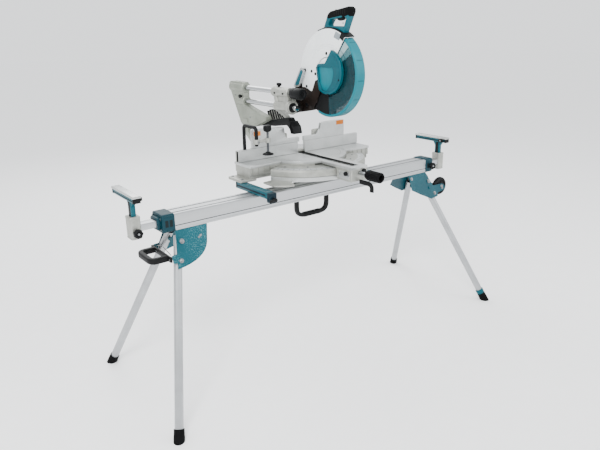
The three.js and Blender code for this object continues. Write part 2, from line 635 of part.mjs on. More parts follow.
function makeBlade() {
  const shape = new THREE.Shape();
  for (let i = 0; i < blade.teeth; i += 1) {
    const turn = (2 * Math.PI) / blade.teeth;
    const tip = i * turn;
    const root = tip + turn * 0.35;
    const point = (radius, angle) => [arbor.y + radius * Math.cos(angle), arbor.z + radius * Math.sin(angle)];
    if (i === 0) shape.moveTo(...point(blade.radius, tip));
    else shape.lineTo(...point(blade.radius, tip));
    shape.lineTo(...point(blade.radius - 7, root));
  }
  const x0 = bladeX - blade.thickness / 2;
  const disc = union(prismX(shape, x0, x0 + blade.thickness), atArbor(bladeX - 14, bladeX + 14, 26, 16),
    atArbor(bladeX - 18, guard.right + 14, 12, 16));
  place('blade', disc, steel);
}

function makeMotor() {
  const face = guard.right + gap;
  const motor = { y: -10, z: 1268, radius: 50, end: guard.right + 112 };
  const gearCase = union(atArbor(face, face + 36, 44, 20),
    bar([face, motor.y, motor.z], [face + 36, motor.y, motor.z], 54, 24),
    prismX(outline([[arbor.y - 24, arbor.z + 30], [arbor.y + 30, arbor.z - 24], [motor.y + 38, motor.z - 34],
      [motor.y - 38, motor.z + 36]]), face + 4, face + 32));
  const can = bar([face + 34, motor.y, motor.z], [motor.end - 20, motor.y, motor.z], motor.radius, 24)
    .add(bar([motor.end - 20, motor.y, motor.z], [motor.end, motor.y, motor.z], motor.radius, 24, 40));
  const bore = atArbor(face - 1, face + 16, 14, 16);
  place('motor_housing', union(gearCase, can).subtract(bore), teal);
}

const grip = { x0: 42, x1: 78 };
const triggerY = { front: -138, back: -96 };
const lockButton = { x: bladeX, y: -84, z: 1474, radius: 5 };

function makeHandle() {
  const outer = outline([[-4, 1384], [-46, 1470], [-60, 1480], [-174, 1496], [-188, 1488], [-188, 1474],
    [-146, 1392], [-146, 1370], [-40, 1370]]);
  const hole = outline([[-42, 1424], [-64, 1450], [-136, 1458], [-146, 1448], [-126, 1420]]);
  const frame = prismX(outer, grip.x0, grip.x1).subtract(prismX(hole, grip.x0 - 5, grip.x1 + 5))
    .subtract(atArbor(-50, 150, guard.radius + 1.5, 40));
  const pocket = box(bladeX - 8, bladeX + 8, triggerY.front - gap, triggerY.back + gap, 1440, 1466);
  const well = bar([lockButton.x, lockButton.y, 1468], [lockButton.x, lockButton.y, 1500], lockButton.radius + gap, 12);
  place('handle_frame', frame.subtract(pocket).subtract(well), teal);
  const trigger = box(bladeX - 8 + gap, bladeX + 8 - gap, triggerY.front, triggerY.back, 1441, 1460);
  place('trigger', trigger, black);
  const button = bar([lockButton.x, lockButton.y, 1474], [lockButton.x, lockButton.y, 1487], lockButton.radius, 12);
  place('lock_off_button', button, black);
}

// ---- vise -----------------------------------------------------------------------------------------
const viseRod = { x: -254, rearY: 174, frontY: 75, top: 1012, radius: 8, z0: 864 };
const spindle = { x: -196, y: 75, radius: 6 };

function makeVise() {
  const { x, rearY, frontY, top, radius, z0 } = viseRod;
  place('vise_rod', bentBar([[x, rearY, z0], [x, rearY, top], [x, frontY, top], [x, frontY, 934]], radius, 12), black);
  const armZ = [942, 962];
  const armBody = union(box(x, spindle.x, frontY - 8, frontY + 8, armZ[0] + 4, armZ[1] - 4),
    bar([x, frontY, armZ[0]], [x, frontY, armZ[1]], 15, 14),
    bar([spindle.x, spindle.y, armZ[0]], [spindle.x, spindle.y, armZ[1]], 13, 14))
    .subtract(bar([x, frontY, 900], [x, frontY, 1000], radius * 1.02 + gap, 12))
    .subtract(bar([spindle.x, spindle.y, 900], [spindle.x, spindle.y, 1000], spindle.radius + gap, 12));
  place('vise_arm', armBody, silver);
  const profile = [[0, 888], [25, 888], [25, 893], [10, 900], [spindle.radius, 902], [spindle.radius, 990],
    [14, 992], [18, 997], [18, 1014], [14, 1018], [0, 1018]];
  const screw = spin(profile, 14).rotateX(Math.PI / 2);
  place('vise_spindle', toSolid(screw.translate(spindle.x, spindle.y, 0)), black);
}

// ---- assembly -----------------------------------------------------------------------------------
makeRail();
const rightEnd = new THREE.Group();
const leftEnd = new THREE.Group();
leftEnd.rotation.z = Math.PI;
assembly.add(rightEnd, leftEnd);
makeRailEnd('right', rightEnd);
makeRailEnd('left', leftEnd);

const frontLegs = new THREE.Group();
const rearLegs = new THREE.Group();
rearLegs.scale.y = -1;
assembly.add(frontLegs, rearLegs);
for (const side of ['left', 'right']) {
  makeFrontLeg(side, `front_${side}`, frontLegs);
  makeFrontLeg(side, `rear_${side}`, rearLegs);
}
makeLeftBracket();
makeRightBracket();
makeWheel('front_wheel', -wheel.y);
makeWheel('rear_wheel', wheel.y);
makeHandles();
makeMount('left', -334, 34);
makeMount('right', 226, 34);
makeBase();
makeFence();
makeUpperFences();
makeTurntable();
makeMitreControls();
makeSlideHub();
makeRearArm();
makeCarriage();
makeDustChute();
makeUpperGuard();
makeHingeBlock();
makeCentreCover();
makeLowerGuard();
makeBlade();
makeMotor();
makeHandle();
makeVise();

export default saw;
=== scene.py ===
import math
import bmesh
import bpy
from mathutils import Matrix, Vector


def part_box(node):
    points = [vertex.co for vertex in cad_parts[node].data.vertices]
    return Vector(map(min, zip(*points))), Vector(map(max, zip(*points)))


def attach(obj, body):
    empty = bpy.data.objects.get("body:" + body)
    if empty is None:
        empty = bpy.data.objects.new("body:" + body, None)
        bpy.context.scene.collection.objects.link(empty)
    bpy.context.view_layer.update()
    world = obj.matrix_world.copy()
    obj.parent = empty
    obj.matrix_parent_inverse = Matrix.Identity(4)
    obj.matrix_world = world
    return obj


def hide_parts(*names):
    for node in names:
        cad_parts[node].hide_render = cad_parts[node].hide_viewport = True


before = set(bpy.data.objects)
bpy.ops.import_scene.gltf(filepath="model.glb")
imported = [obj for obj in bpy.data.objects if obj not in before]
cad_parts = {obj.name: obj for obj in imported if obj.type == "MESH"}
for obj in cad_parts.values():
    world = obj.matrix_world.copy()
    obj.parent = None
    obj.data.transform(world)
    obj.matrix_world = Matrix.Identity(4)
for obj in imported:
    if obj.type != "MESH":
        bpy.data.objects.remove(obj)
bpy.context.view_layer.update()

# Everything below is drawn in millimetres from the middle of the rail, then set into the frame.
mm = 0.001
railLow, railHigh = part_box("rail")
railY = (railLow.y + railHigh.y) / 2
smoothAngle = math.radians(32)
axes = {
    "X": Matrix(((0, 0, 1), (1, 0, 0), (0, 1, 0))),    # outline in (y, z)
    "Y": Matrix(((1, 0, 0), (0, 0, -1), (0, 1, 0))),   # outline in (x, z)
    "Z": Matrix(((1, 0, 0), (0, 1, 0), (0, 0, 1))),    # outline in (x, y)
}


def put(v):
    return Vector((v[0] * mm, v[1] * mm + railY, v[2] * mm))


# Outlines: points in the plane a shape is drawn in.
def arc(u, v, radius, start, end, steps=12):
    turn = [math.radians(start + (end - start) * i / steps) for i in range(steps + 1)]
    return [(u + radius * math.cos(a), v + radius * math.sin(a)) for a in turn]


def rounded(points, radius, steps=4):
    # Rounds every corner; radius is one value or one for each corner.
    radii = radius if isinstance(radius, (list, tuple)) else [radius] * len(points)
    result = []
    count = len(points)
    for i, (corner, r) in enumerate(zip(points, radii)):
        here = Vector(corner)
        back = Vector(points[i - 1]) - here
        ahead = Vector(points[(i + 1) % count]) - here
        angle = back.angle(ahead, math.pi)
        if r <= 0 or angle > 3.1:
            result.append(tuple(here))
            continue
        reach = min(r / math.tan(angle / 2), 0.45 * back.length, 0.45 * ahead.length)
        first = here + back.normalized() * reach
        last = here + ahead.normalized() * reach
        for k in range(steps + 1):
            t = k / steps
            result.append(tuple(first * (1 - t) ** 2 + here * 2 * t * (1 - t) + last * t * t))
    return result


def rect(u0, u1, v0, v1, radius=0, steps=4):
    return rounded([(u0, v0), (u1, v0), (u1, v1), (u0, v1)], radius, steps)


# Solids: every mesh is made by one of these.
def markSharp(bm, limit=smoothAngle):
    for face in bm.faces:
        face.smooth = True
    for edge in bm.edges:
        if len(edge.link_faces) == 2:
            edge.smooth = edge.calc_face_angle(0) < limit


def piece(name, bm, material, sharp=smoothAngle):
    bmesh.ops.recalc_face_normals(bm, faces=bm.faces)
    markSharp(bm, sharp)
    mesh = bpy.data.meshes.new(name)
    bm.to_mesh(mesh)
    bm.free()
    mesh.materials.append(material)
    made = bpy.data.objects.new(name, mesh)
    bpy.context.scene.collection.objects.link(made)
    return made


# Flat outline drawn out along an axis, edges rounded over by edge; holes are more outlines.
def slab(name, material, outline, axis, near, far, edge=1.0, holes=(), edgeSteps=2):
    curve = bpy.data.curves.new(name, "CURVE")
    curve.dimensions = "2D"
    curve.fill_mode = "BOTH"
    edge = min(edge, abs(far - near) * 0.45)
    curve.extrude = abs(far - near) / 2 - edge
    curve.bevel_depth = edge
    curve.bevel_resolution = edgeSteps
    curve.offset = -edge
    for loop in [outline, *holes]:
        line = curve.splines.new("POLY")
        line.points.add(len(loop) - 1)
        for spot, (u, v) in zip(line.points, loop):
            spot.co = (u, v, 0, 1)
        line.use_cyclic_u = True
    holder = bpy.data.objects.new(name, curve)
    mesh = holder.to_mesh()
    bm = bmesh.new()
    bm.from_mesh(mesh)
    holder.to_mesh_clear()
    bpy.data.objects.remove(holder)
    bpy.data.curves.remove(curve)
    bmesh.ops.remove_doubles(bm, verts=bm.verts, dist=0.01)
    middle = (near + far) / 2
    frameOf = axes[axis]
    depth = -middle if axis == "Y" else middle
    for vert in bm.verts:
        vert.co = put(frameOf @ (vert.co + Vector((0, 0, depth))))
    return piece(name, bm, material)


# Profile of (radius, distance) turned round the line from start along direction.
def turned(name, material, profile, start, direction, segments=48, soften=0, ripple=None):
    if soften:
        closed = profile[0][0] > 0
        points = rounded(profile, soften, 3) if closed else profile[:1] + rounded(profile, soften, 3)[
            4:-4] + profile[-1:]
        profile = points
    away = Vector(direction).normalized()
    spin = Vector((0, 0, 1)).rotation_difference(away)
    bm = bmesh.new()
    rings = []
    for radius, height in profile:
        if radius <= 1e-6:
            spot = put(Vector(start) + spin @ Vector((0, 0, height)))
            rings.append([bm.verts.new(spot)])
            continue
        ring = []
        for i in range(segments):
            a = 2 * math.pi * i / segments
            r = radius * (1 + (ripple(a, radius) if ripple else 0))
            local = Vector((r * math.cos(a), r * math.sin(a), height))
            ring.append(bm.verts.new(put(Vector(start) + spin @ local)))
        rings.append(ring)
    pairs = list(zip(rings, rings[1:]))
    if len(rings[0]) > 1 and len(rings[-1]) > 1:
        pairs.append((rings[-1], rings[0]))
    for low, high in pairs:
        for i in range(segments):
            j = (i + 1) % segments
            corners = [low[i % len(low)], low[j % len(low)], high[j % len(high)], high[i % len(high)]]
            unique = list(dict.fromkeys(corners))
            if len(unique) > 2:
                bm.faces.new(unique)
    return piece(name, bm, material)


# Round or flat-sided bar swept along a smooth path.
def swept(name, material, path, radius, bend=0, section=None, steps=8, closed=False):
    points = [Vector(p) for p in path]
    if bend:
        flat = []
        for i, spot in enumerate(points):
            if not closed and i in (0, len(points) - 1):
                flat.append(spot)
                continue
            back = points[i - 1] - spot
            ahead = points[(i + 1) % len(points)] - spot
            reach = min(bend, 0.48 * back.length, 0.48 * ahead.length)
            first = spot + back.normalized() * reach
            last = spot + ahead.normalized() * reach
            for k in range(steps + 1):
                t = k / steps
                flat.append(first * (1 - t) ** 2 + spot * 2 * t * (1 - t) + last * t * t)
        points = flat
    shape = section or [(radius * math.cos(a), radius * math.sin(a))
                        for a in [2 * math.pi * k / 20 for k in range(20)]]
    count = len(points)
    bm = bmesh.new()
    rings = []
    side = None
    for i, spot in enumerate(points):
        if closed:
            along = (points[(i + 1) % count] - points[i - 1]).normalized()
        else:
            along = (points[min(i + 1, count - 1)] - points[max(i - 1, 0)]).normalized()
        if side is None:
            guess = Vector((0, 1, 0)) if abs(along.y) < 0.9 else Vector((0, 0, 1))
            side = (guess - along * guess.dot(along)).normalized()
        side = (side - along * side.dot(along)).normalized()
        over = along.cross(side)
        rings.append([bm.verts.new(put(spot + side * u + over * v)) for u, v in shape])
    pairs = list(zip(rings, rings[1:]))
    if closed:
        pairs.append((rings[-1], rings[0]))
    n = len(shape)
    for low, high in pairs:
        for i in range(n):
            j = (i + 1) % n
            bm.faces.new((low[i], low[j], high[j], high[i]))
    if not closed:
        bm.faces.new(list(reversed(rings[0])))
        bm.faces.new(rings[-1])
    return piece(name, bm, material)


def block(name, material, x, y, z, edge=1.5, corner=0):
    return slab(name, material, rect(x[0], x[1], y[0], y[1], corner), "Z", z[0], z[1], edge)


# Several pieces of one finish become one object.
def joined(name, *parts):
    bm = bmesh.new()
    finishes = []
    for part in parts:
        mesh = part.data
        for finish in mesh.materials:
            if finish not in finishes:
                finishes.append(finish)
        order = [finishes.index(m) for m in mesh.materials]
        count = len(bm.faces)
        bm.from_mesh(mesh)
        bm.faces.ensure_lookup_table()
        for face in bm.faces[count:]:
            face.material_index = order[face.material_index]
        bpy.data.objects.remove(part)
    mesh = bpy.data.meshes.new(name)
    bm.to_mesh(mesh)
    bm.free()
    for finish in finishes:
        mesh.materials.append(finish)
    made = bpy.data.objects.new(name, mesh)
    bpy.context.scene.collection.objects.link(made)
    return made


# Takes a cutter out of a piece.
def cutOut(target, *cutters):
    for cutter in cutters:
        tool = target.modifiers.new("cut", "BOOLEAN")
        tool.object = cutter
        tool.solver = "EXACT"
    depsgraph = bpy.context.evaluated_depsgraph_get()
    mesh = bpy.data.meshes.new_from_object(target.evaluated_get(depsgraph))
    target.modifiers.clear()
    target.data = mesh
    for cutter in cutters:
        bpy.data.objects.remove(cutter)
    bm = bmesh.new()
    bm.from_mesh(mesh)
    bmesh.ops.remove_doubles(bm, verts=bm.verts, dist=2e-6)
    markSharp(bm)
    bm.to_mesh(mesh)
    bm.free()
    return target


def settle(made, body, slotName, *nodes):
    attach(made, body)
    if nodes:
        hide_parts(*nodes)
    return made


# Socket-head screws, all in one object: each spot is (centre, outward direction).
def screws(name, material, spots, radius=3.2, height=3, recess=True):
    made = []
    for centre, outward in spots:
        inner = radius * 0.5 if recess else 0
        profile = [(0, -1), (radius, -1), (radius, height * 0.7), (radius * 0.8, height)]
        if recess:
            profile += [(inner, height), (inner * 0.9, height * 0.45), (0, height * 0.4)]
        else:
            profile += [(0, height * 1.12)]
        made.append(turned("screw", material, profile, centre, outward, 20))
    return joined(name, *made)


# Finishes.
def linear(hexColour):
    parts = [int(hexColour[i:i + 2], 16) / 255 for i in (0, 2, 4)]
    return [c / 12.92 if c <= 0.04045 else ((c + 0.055) / 1.055) ** 2.4 for c in parts] + [1]


def newFinish(name):
    finish = bpy.data.materials.new(name)
    finish.use_nodes = True
    nodes = finish.node_tree.nodes
    return finish, nodes, finish.node_tree.links, nodes["Principled BSDF"]


# Noise in the piece's own space, stretched along x, y, z.
def noiseField(nodes, links, scale, stretch=(1, 1, 1), detail=4, roughness=0.55):
    place = nodes.new("ShaderNodeTexCoord")
    fit = nodes.new("ShaderNodeMapping")
    fit.inputs["Scale"].default_value = stretch
    noise = nodes.new("ShaderNodeTexNoise")
    noise.inputs["Scale"].default_value = scale
    noise.inputs["Detail"].default_value = detail
    noise.inputs["Roughness"].default_value = roughness
    links.new(place.outputs["Object"], fit.inputs["Vector"])
    links.new(fit.outputs["Vector"], noise.inputs["Vector"])
    return noise.outputs["Fac"]


def ranged(nodes, links, source, low, high, fromLow=0.3, fromHigh=0.7):
    span = nodes.new("ShaderNodeMapRange")
    span.inputs["From Min"].default_value = fromLow
    span.inputs["From Max"].default_value = fromHigh
    span.inputs["To Min"].default_value = low
    span.inputs["To Max"].default_value = high
    links.new(source, span.inputs["Value"])
    return span.outputs["Result"]


def blended(nodes, links, factor, first, second):
    mix = nodes.new("ShaderNodeMix")
    mix.data_type = "RGBA"
    mix.inputs[6].default_value = first
    mix.inputs[7].default_value = second
    links.new(factor, mix.inputs[0])
    return mix


# One maker for paints, castings, metals and plastics.
def surface(name, look):
    finish, nodes, links, shader = newFinish(name)
    base = linear(look["colour"])
    other = linear(look.get("mottle", look["colour"]))
    wide = noiseField(nodes, links, look.get("mottleScale", 14), look.get("stretch", (1, 1, 1)))
    tint = blended(nodes, links, ranged(nodes, links, wide, 0, 1), base, other)
    colour = tint.outputs[2]
    if "wear" in look:
        geometry = nodes.new("ShaderNodeNewGeometry")
        speck = noiseField(nodes, links, 260)
        edge = ranged(nodes, links, geometry.outputs["Pointiness"], 0, 1, 0.53, 0.62)
        gate = nodes.new("ShaderNodeMath")
        gate.operation = "MULTIPLY"
        links.new(edge, gate.inputs[0])
        links.new(ranged(nodes, links, speck, 0, 0.8, 0.5, 0.68), gate.inputs[1])
        worn = blended(nodes, links, gate.outputs[0], base, linear(look["wear"]))
        links.new(colour, worn.inputs[6])
        colour = worn.outputs[2]
    links.new(colour, shader.inputs["Base Color"])
    fine = noiseField(nodes, links, look.get("grain", 900), look.get("grainStretch", (1, 1, 1)), 3)
    low, high = look["rough"]
    links.new(ranged(nodes, links, fine, low, high), shader.inputs["Roughness"])
    bump = nodes.new("ShaderNodeBump")
    bump.inputs["Strength"].default_value = look.get("bump", 0.1)
    bump.inputs["Distance"].default_value = look.get("bumpDepth", 0.0002)
    links.new(fine, bump.inputs["Height"])
    links.new(bump.outputs["Normal"], shader.inputs["Normal"])
    shader.inputs["Metallic"].default_value = look.get("metal", 0)
    shader.inputs["Coat Weight"].default_value = look.get("coat", 0)
    shader.inputs["Coat Roughness"].default_value = look.get("coatRough", 0.12)
    shader.inputs["Specular IOR Level"].default_value = look.get("specular", 0.16)
    return finish


looks = {
    "extruded": dict(colour="b4b6b8", mottle="a8aaac", rough=(0.28, 0.42), metal=0.85, grain=700,
                     grainStretch=(0.03, 1, 1), bump=0.12, stretch=(0.1, 1, 1)),
    "tube": dict(colour="abadaf", mottle="9fa1a3", rough=(0.3, 0.42), metal=0.8, grain=900, bump=0.06),
    "castSilver": dict(colour="a6a7a1", mottle="92938d", rough=(0.38, 0.55), metal=0.65, grain=1400,
                       bump=0.22, mottleScale=30),
    "machined": dict(colour="bdbfbe", mottle="adafae", rough=(0.25, 0.4), metal=0.8, grain=900,
                     grainStretch=(1, 0.04, 1), bump=0.1),
    "warmCasting": dict(colour="8f9389", mottle="7f8379", rough=(0.4, 0.56), metal=0.5, grain=1300,
                        bump=0.2, mottleScale=22),
    "polished": dict(colour="b3b5b6", mottle="a5a7a9", rough=(0.07, 0.14), metal=1, grain=500,
                     grainStretch=(1, 0.02, 1), bump=0.03),
    "bolt": dict(colour="8d8f90", mottle="74767a", rough=(0.25, 0.4), metal=0.95, grain=900, bump=0.08),
    "tealPaint": dict(colour="064a55", mottle="05434d", rough=(0.3, 0.42), coat=0.05, grain=420,
                      bump=0.08, bumpDepth=0.0003, wear="5d8f96"),
    # Darker copy of tealPaint, edge wear included: painted shade, used on the right leg bracket and the
    # centre cover's step.
    "tealPaintShaded": dict(colour="04424d", mottle="033a45", rough=(0.34, 0.46), coat=0.04, grain=420,
                     bump=0.08, bumpDepth=0.0003, wear="4a7a81"),
    "tealCasting": dict(colour="06323c", mottle="052a33", rough=(0.4, 0.55), coat=0.02, grain=900,
                        bump=0.18, wear="3c666d"),
    "tealPlastic": dict(colour="014b56", mottle="01434d", rough=(0.3, 0.4), coat=0.04, grain=1200,
                        bump=0.06),
    "tealHandle": dict(colour="04505c", mottle="034752", rough=(0.34, 0.46), coat=0.04, grain=900,
                       bump=0.1),
    "tealPanel": dict(colour="036a76", mottle="03616c", rough=(0.3, 0.4), coat=0.05, grain=1200, bump=0.05),
    "whitePaint": dict(colour="e9ecec", mottle="e2e6e7", rough=(0.24, 0.34), coat=0.07, grain=380,
                       bump=0.06, bumpDepth=0.0003),
    "greyLabel": dict(colour="858c91", mottle="7a8286", rough=(0.35, 0.45), grain=600, bump=0.03),
    "orangeLabel": dict(colour="c8701f", mottle="bd661a", rough=(0.4, 0.5), grain=600, bump=0.03),
    "blackPlastic": dict(colour="0c0d0e", mottle="121314", rough=(0.42, 0.58), grain=1800, bump=0.25,
                         specular=0.12),
    "brownCasting": dict(colour="1f1713", mottle="120e0c", rough=(0.4, 0.55), grain=1200, bump=0.2,
                         mottleScale=20),
    "rubber": dict(colour="070708", mottle="0c0c0d", rough=(0.62, 0.8), grain=1500, bump=0.25,
                   specular=0.06),
    "darkBlade": dict(colour="34383b", mottle="292d30", rough=(0.22, 0.36), metal=0.9, grain=700,
                      bump=0.08),
    "carbide": dict(colour="8f9294", mottle="7b7e80", rough=(0.25, 0.35), metal=0.9, grain=900, bump=0.05),
    # Near-black: painted shade in pockets, grooves, vents and slots, and also the real dark marks, scale
    # ticks and guard seam.
    "darkShadeAndMarks": dict(colour="0c1416", mottle="101a1c", rough=(0.6, 0.75), grain=900, bump=0.1),
    "navyPlastic": dict(colour="06202a", mottle="051a23", rough=(0.42, 0.55), grain=1400, bump=0.16),
}
finishes = {name: surface(name, look) for name, look in looks.items()}


# Smoked clear plastic for the lower guard.
def clearPlastic(name, colour, alpha):
    finish, nodes, links, shader = newFinish(name)
    haze = noiseField(nodes, links, 9)
    tint = blended(nodes, links, ranged(nodes, links, haze, 0, 1), linear(colour), linear(colour))
    links.new(tint.outputs[2], shader.inputs["Base Color"])
    scratch = noiseField(nodes, links, 320, (1, 0.2, 1))
    links.new(ranged(nodes, links, scratch, 0.06, 0.2), shader.inputs["Roughness"])
    shader.inputs["Alpha"].default_value = alpha
    shader.inputs["IOR"].default_value = 1.45
    shader.inputs["Coat Weight"].default_value = 0.1
    shader.inputs["Specular IOR Level"].default_value = 0.2
    finish.surface_render_method = "DITHERED"
    return finish


finishes["smoke"] = clearPlastic("smoke", "12383f", 0.5)
finishes["haze"] = clearPlastic("haze", "9fb9bd", 0.62)
finishes["paleSmoke"] = clearPlastic("paleSmoke", "4c7b81", 0.55)
print("finishes made:", len(finishes))


# Camera, floor and light.
view = {"yaw": 37.1, "pitch": 17.6, "roll": -1.0, "at": (-1590.2, -1993.4, 1411.6), "lens": 34.54,
        "shiftY": -0.022}


def makeCamera():
    yaw, pitch, roll = (math.radians(view[k]) for k in ("yaw", "pitch", "roll"))
    ahead = Vector((math.sin(yaw) * math.cos(pitch), math.cos(yaw) * math.cos(pitch), -math.sin(pitch)))
    right = Vector((math.cos(yaw), -math.sin(yaw), 0))
    over = right.cross(ahead)
    rolledRight = right * math.cos(roll) + over * math.sin(roll)
    rolledUp = over * math.cos(roll) - right * math.sin(roll)
    camera = bpy.data.objects.new("camera", bpy.data.cameras.new("camera"))
    camera.data.sensor_width = 36
    camera.data.lens = view["lens"]
    camera.data.shift_y = view["shiftY"]
    camera.data.clip_end = 50
    turn = Matrix((rolledRight, rolledUp, -ahead)).transposed()
    camera.matrix_world = Matrix.Translation(put(view["at"])) @ turn.to_4x4()
    bpy.context.scene.collection.objects.link(camera)
    bpy.context.scene.camera = camera


def makeStage():
    bm = bmesh.new()
    reach = 30
    corners = [bm.verts.new((sx * reach, sy * reach, -0.0005)) for sx,
               sy in ((-1, -1), (1, -1), (1, 1), (-1, 1))]
    bm.faces.new(corners)
    floor = piece("floor", bm, surface("floorPaper",
                                       dict(colour="ffffff", mottle="fdfdfd", rough=(0.8, 0.9),
                                                          grain=40, bump=0)))
    world = bpy.data.worlds.new("studio")
    world.use_nodes = True
    world.node_tree.nodes["Background"].inputs["Color"].default_value = (0.93, 0.95, 0.97, 1)
    world.node_tree.nodes["Background"].inputs["Strength"].default_value = 1.7
    bpy.context.scene.world = world
    lamps = [("key", (-2.6, -2.4, 3.4), 1.6, 190), ("fill", (2.6, -2.8, 2.4), 2.6, 50),
             ("back", (0.6, 3.0, 3.2), 2.4, 90)]
    for name, spot, size, power in lamps:
        lamp = bpy.data.lights.new(name, "AREA")
        lamp.size = size
        lamp.energy = power
        holder = bpy.data.objects.new(name, lamp)
        holder.location = spot
        aim = Vector((0, 0, 0.85)) - Vector(spot)
        holder.rotation_euler = aim.to_track_quat("-Z", "Y").to_euler()
        bpy.context.scene.collection.objects.link(holder)


makeCamera()
makeStage()
print("camera and stage made")


# Pieces that keep their drawn shape only get a finish and softer edges.
def coatNode(node, finishName, edge=0):
    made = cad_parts[node]
    made.data.materials.clear()
    made.data.materials.append(finishes[finishName])
    if edge:
        softener = made.modifiers.new("edges", "BEVEL")
        softener.width = edge * mm
        softener.segments = 2
        softener.limit_method = "ANGLE"
        softener.angle_limit = math.radians(40)
        softener.harden_normals = False


coatNode("rail", "extruded", 0.5)
coatNode("left_leg_bracket", "tealPaint", 0.7)
# Same teal paint as the left bracket; its darker copy here is painted shade.
coatNode("right_leg_bracket", "tealPaintShaded", 0.7)
for corner in ("front_left", "front_right", "rear_left", "rear_right"):
    coatNode(corner + "_leg", "tube")
print("kept pieces coated")

# Ends of the rail: cap, arm, support post and rest strip.
railEnd = {"postX": 860, "capLow": 681, "capHigh": 754, "capHalf": 46.5, "capInner": 714.4, "capOuter": 766,
           "armHalf": 20,
           "armLow": 704, "armHigh": 730, "postX": 860, "headHalf": 25, "headLow": 676, "headHigh": 764}


# Dished hand knob with finger lobes, standing out along outward (+1 or -1 in y).
def handKnob(name, x, faceY, z, outward, radius=17.5, depth=20):
    lobes = 7

    def ripple(angle, r):
        return 0.05 * math.cos(lobes * angle) if r > radius * 0.7 else 0

    profile = [(0, 0), (radius * 0.72, 0), (radius * 0.96, depth * 0.2), (radius * 0.98, depth * 0.8),
               (radius * 0.86, depth * 0.98), (radius * 0.6, depth * 0.96), (radius * 0.42, depth * 0.78),
               (0, depth * 0.74)]
    start = (x, faceY + outward * 3, z)
    grip = turned("grip", finishes["blackPlastic"], profile, start, (0, outward, 0), 56, 2.2, ripple)
    collar = turned("collar", finishes["bolt"], [(0, -4), (6.5, -4), (6.5, 4), (0, 4)],
                    start, (0, outward, 0), 24)
    nut = turned("nut", finishes["bolt"], [(0, 0), (5, 0), (5, 3), (4, 4), (0, 4)],
                 (x, faceY + outward * (3 + depth * 0.74), z), (0, outward, 0), 6)
    return joined(name, grip, collar, nut)


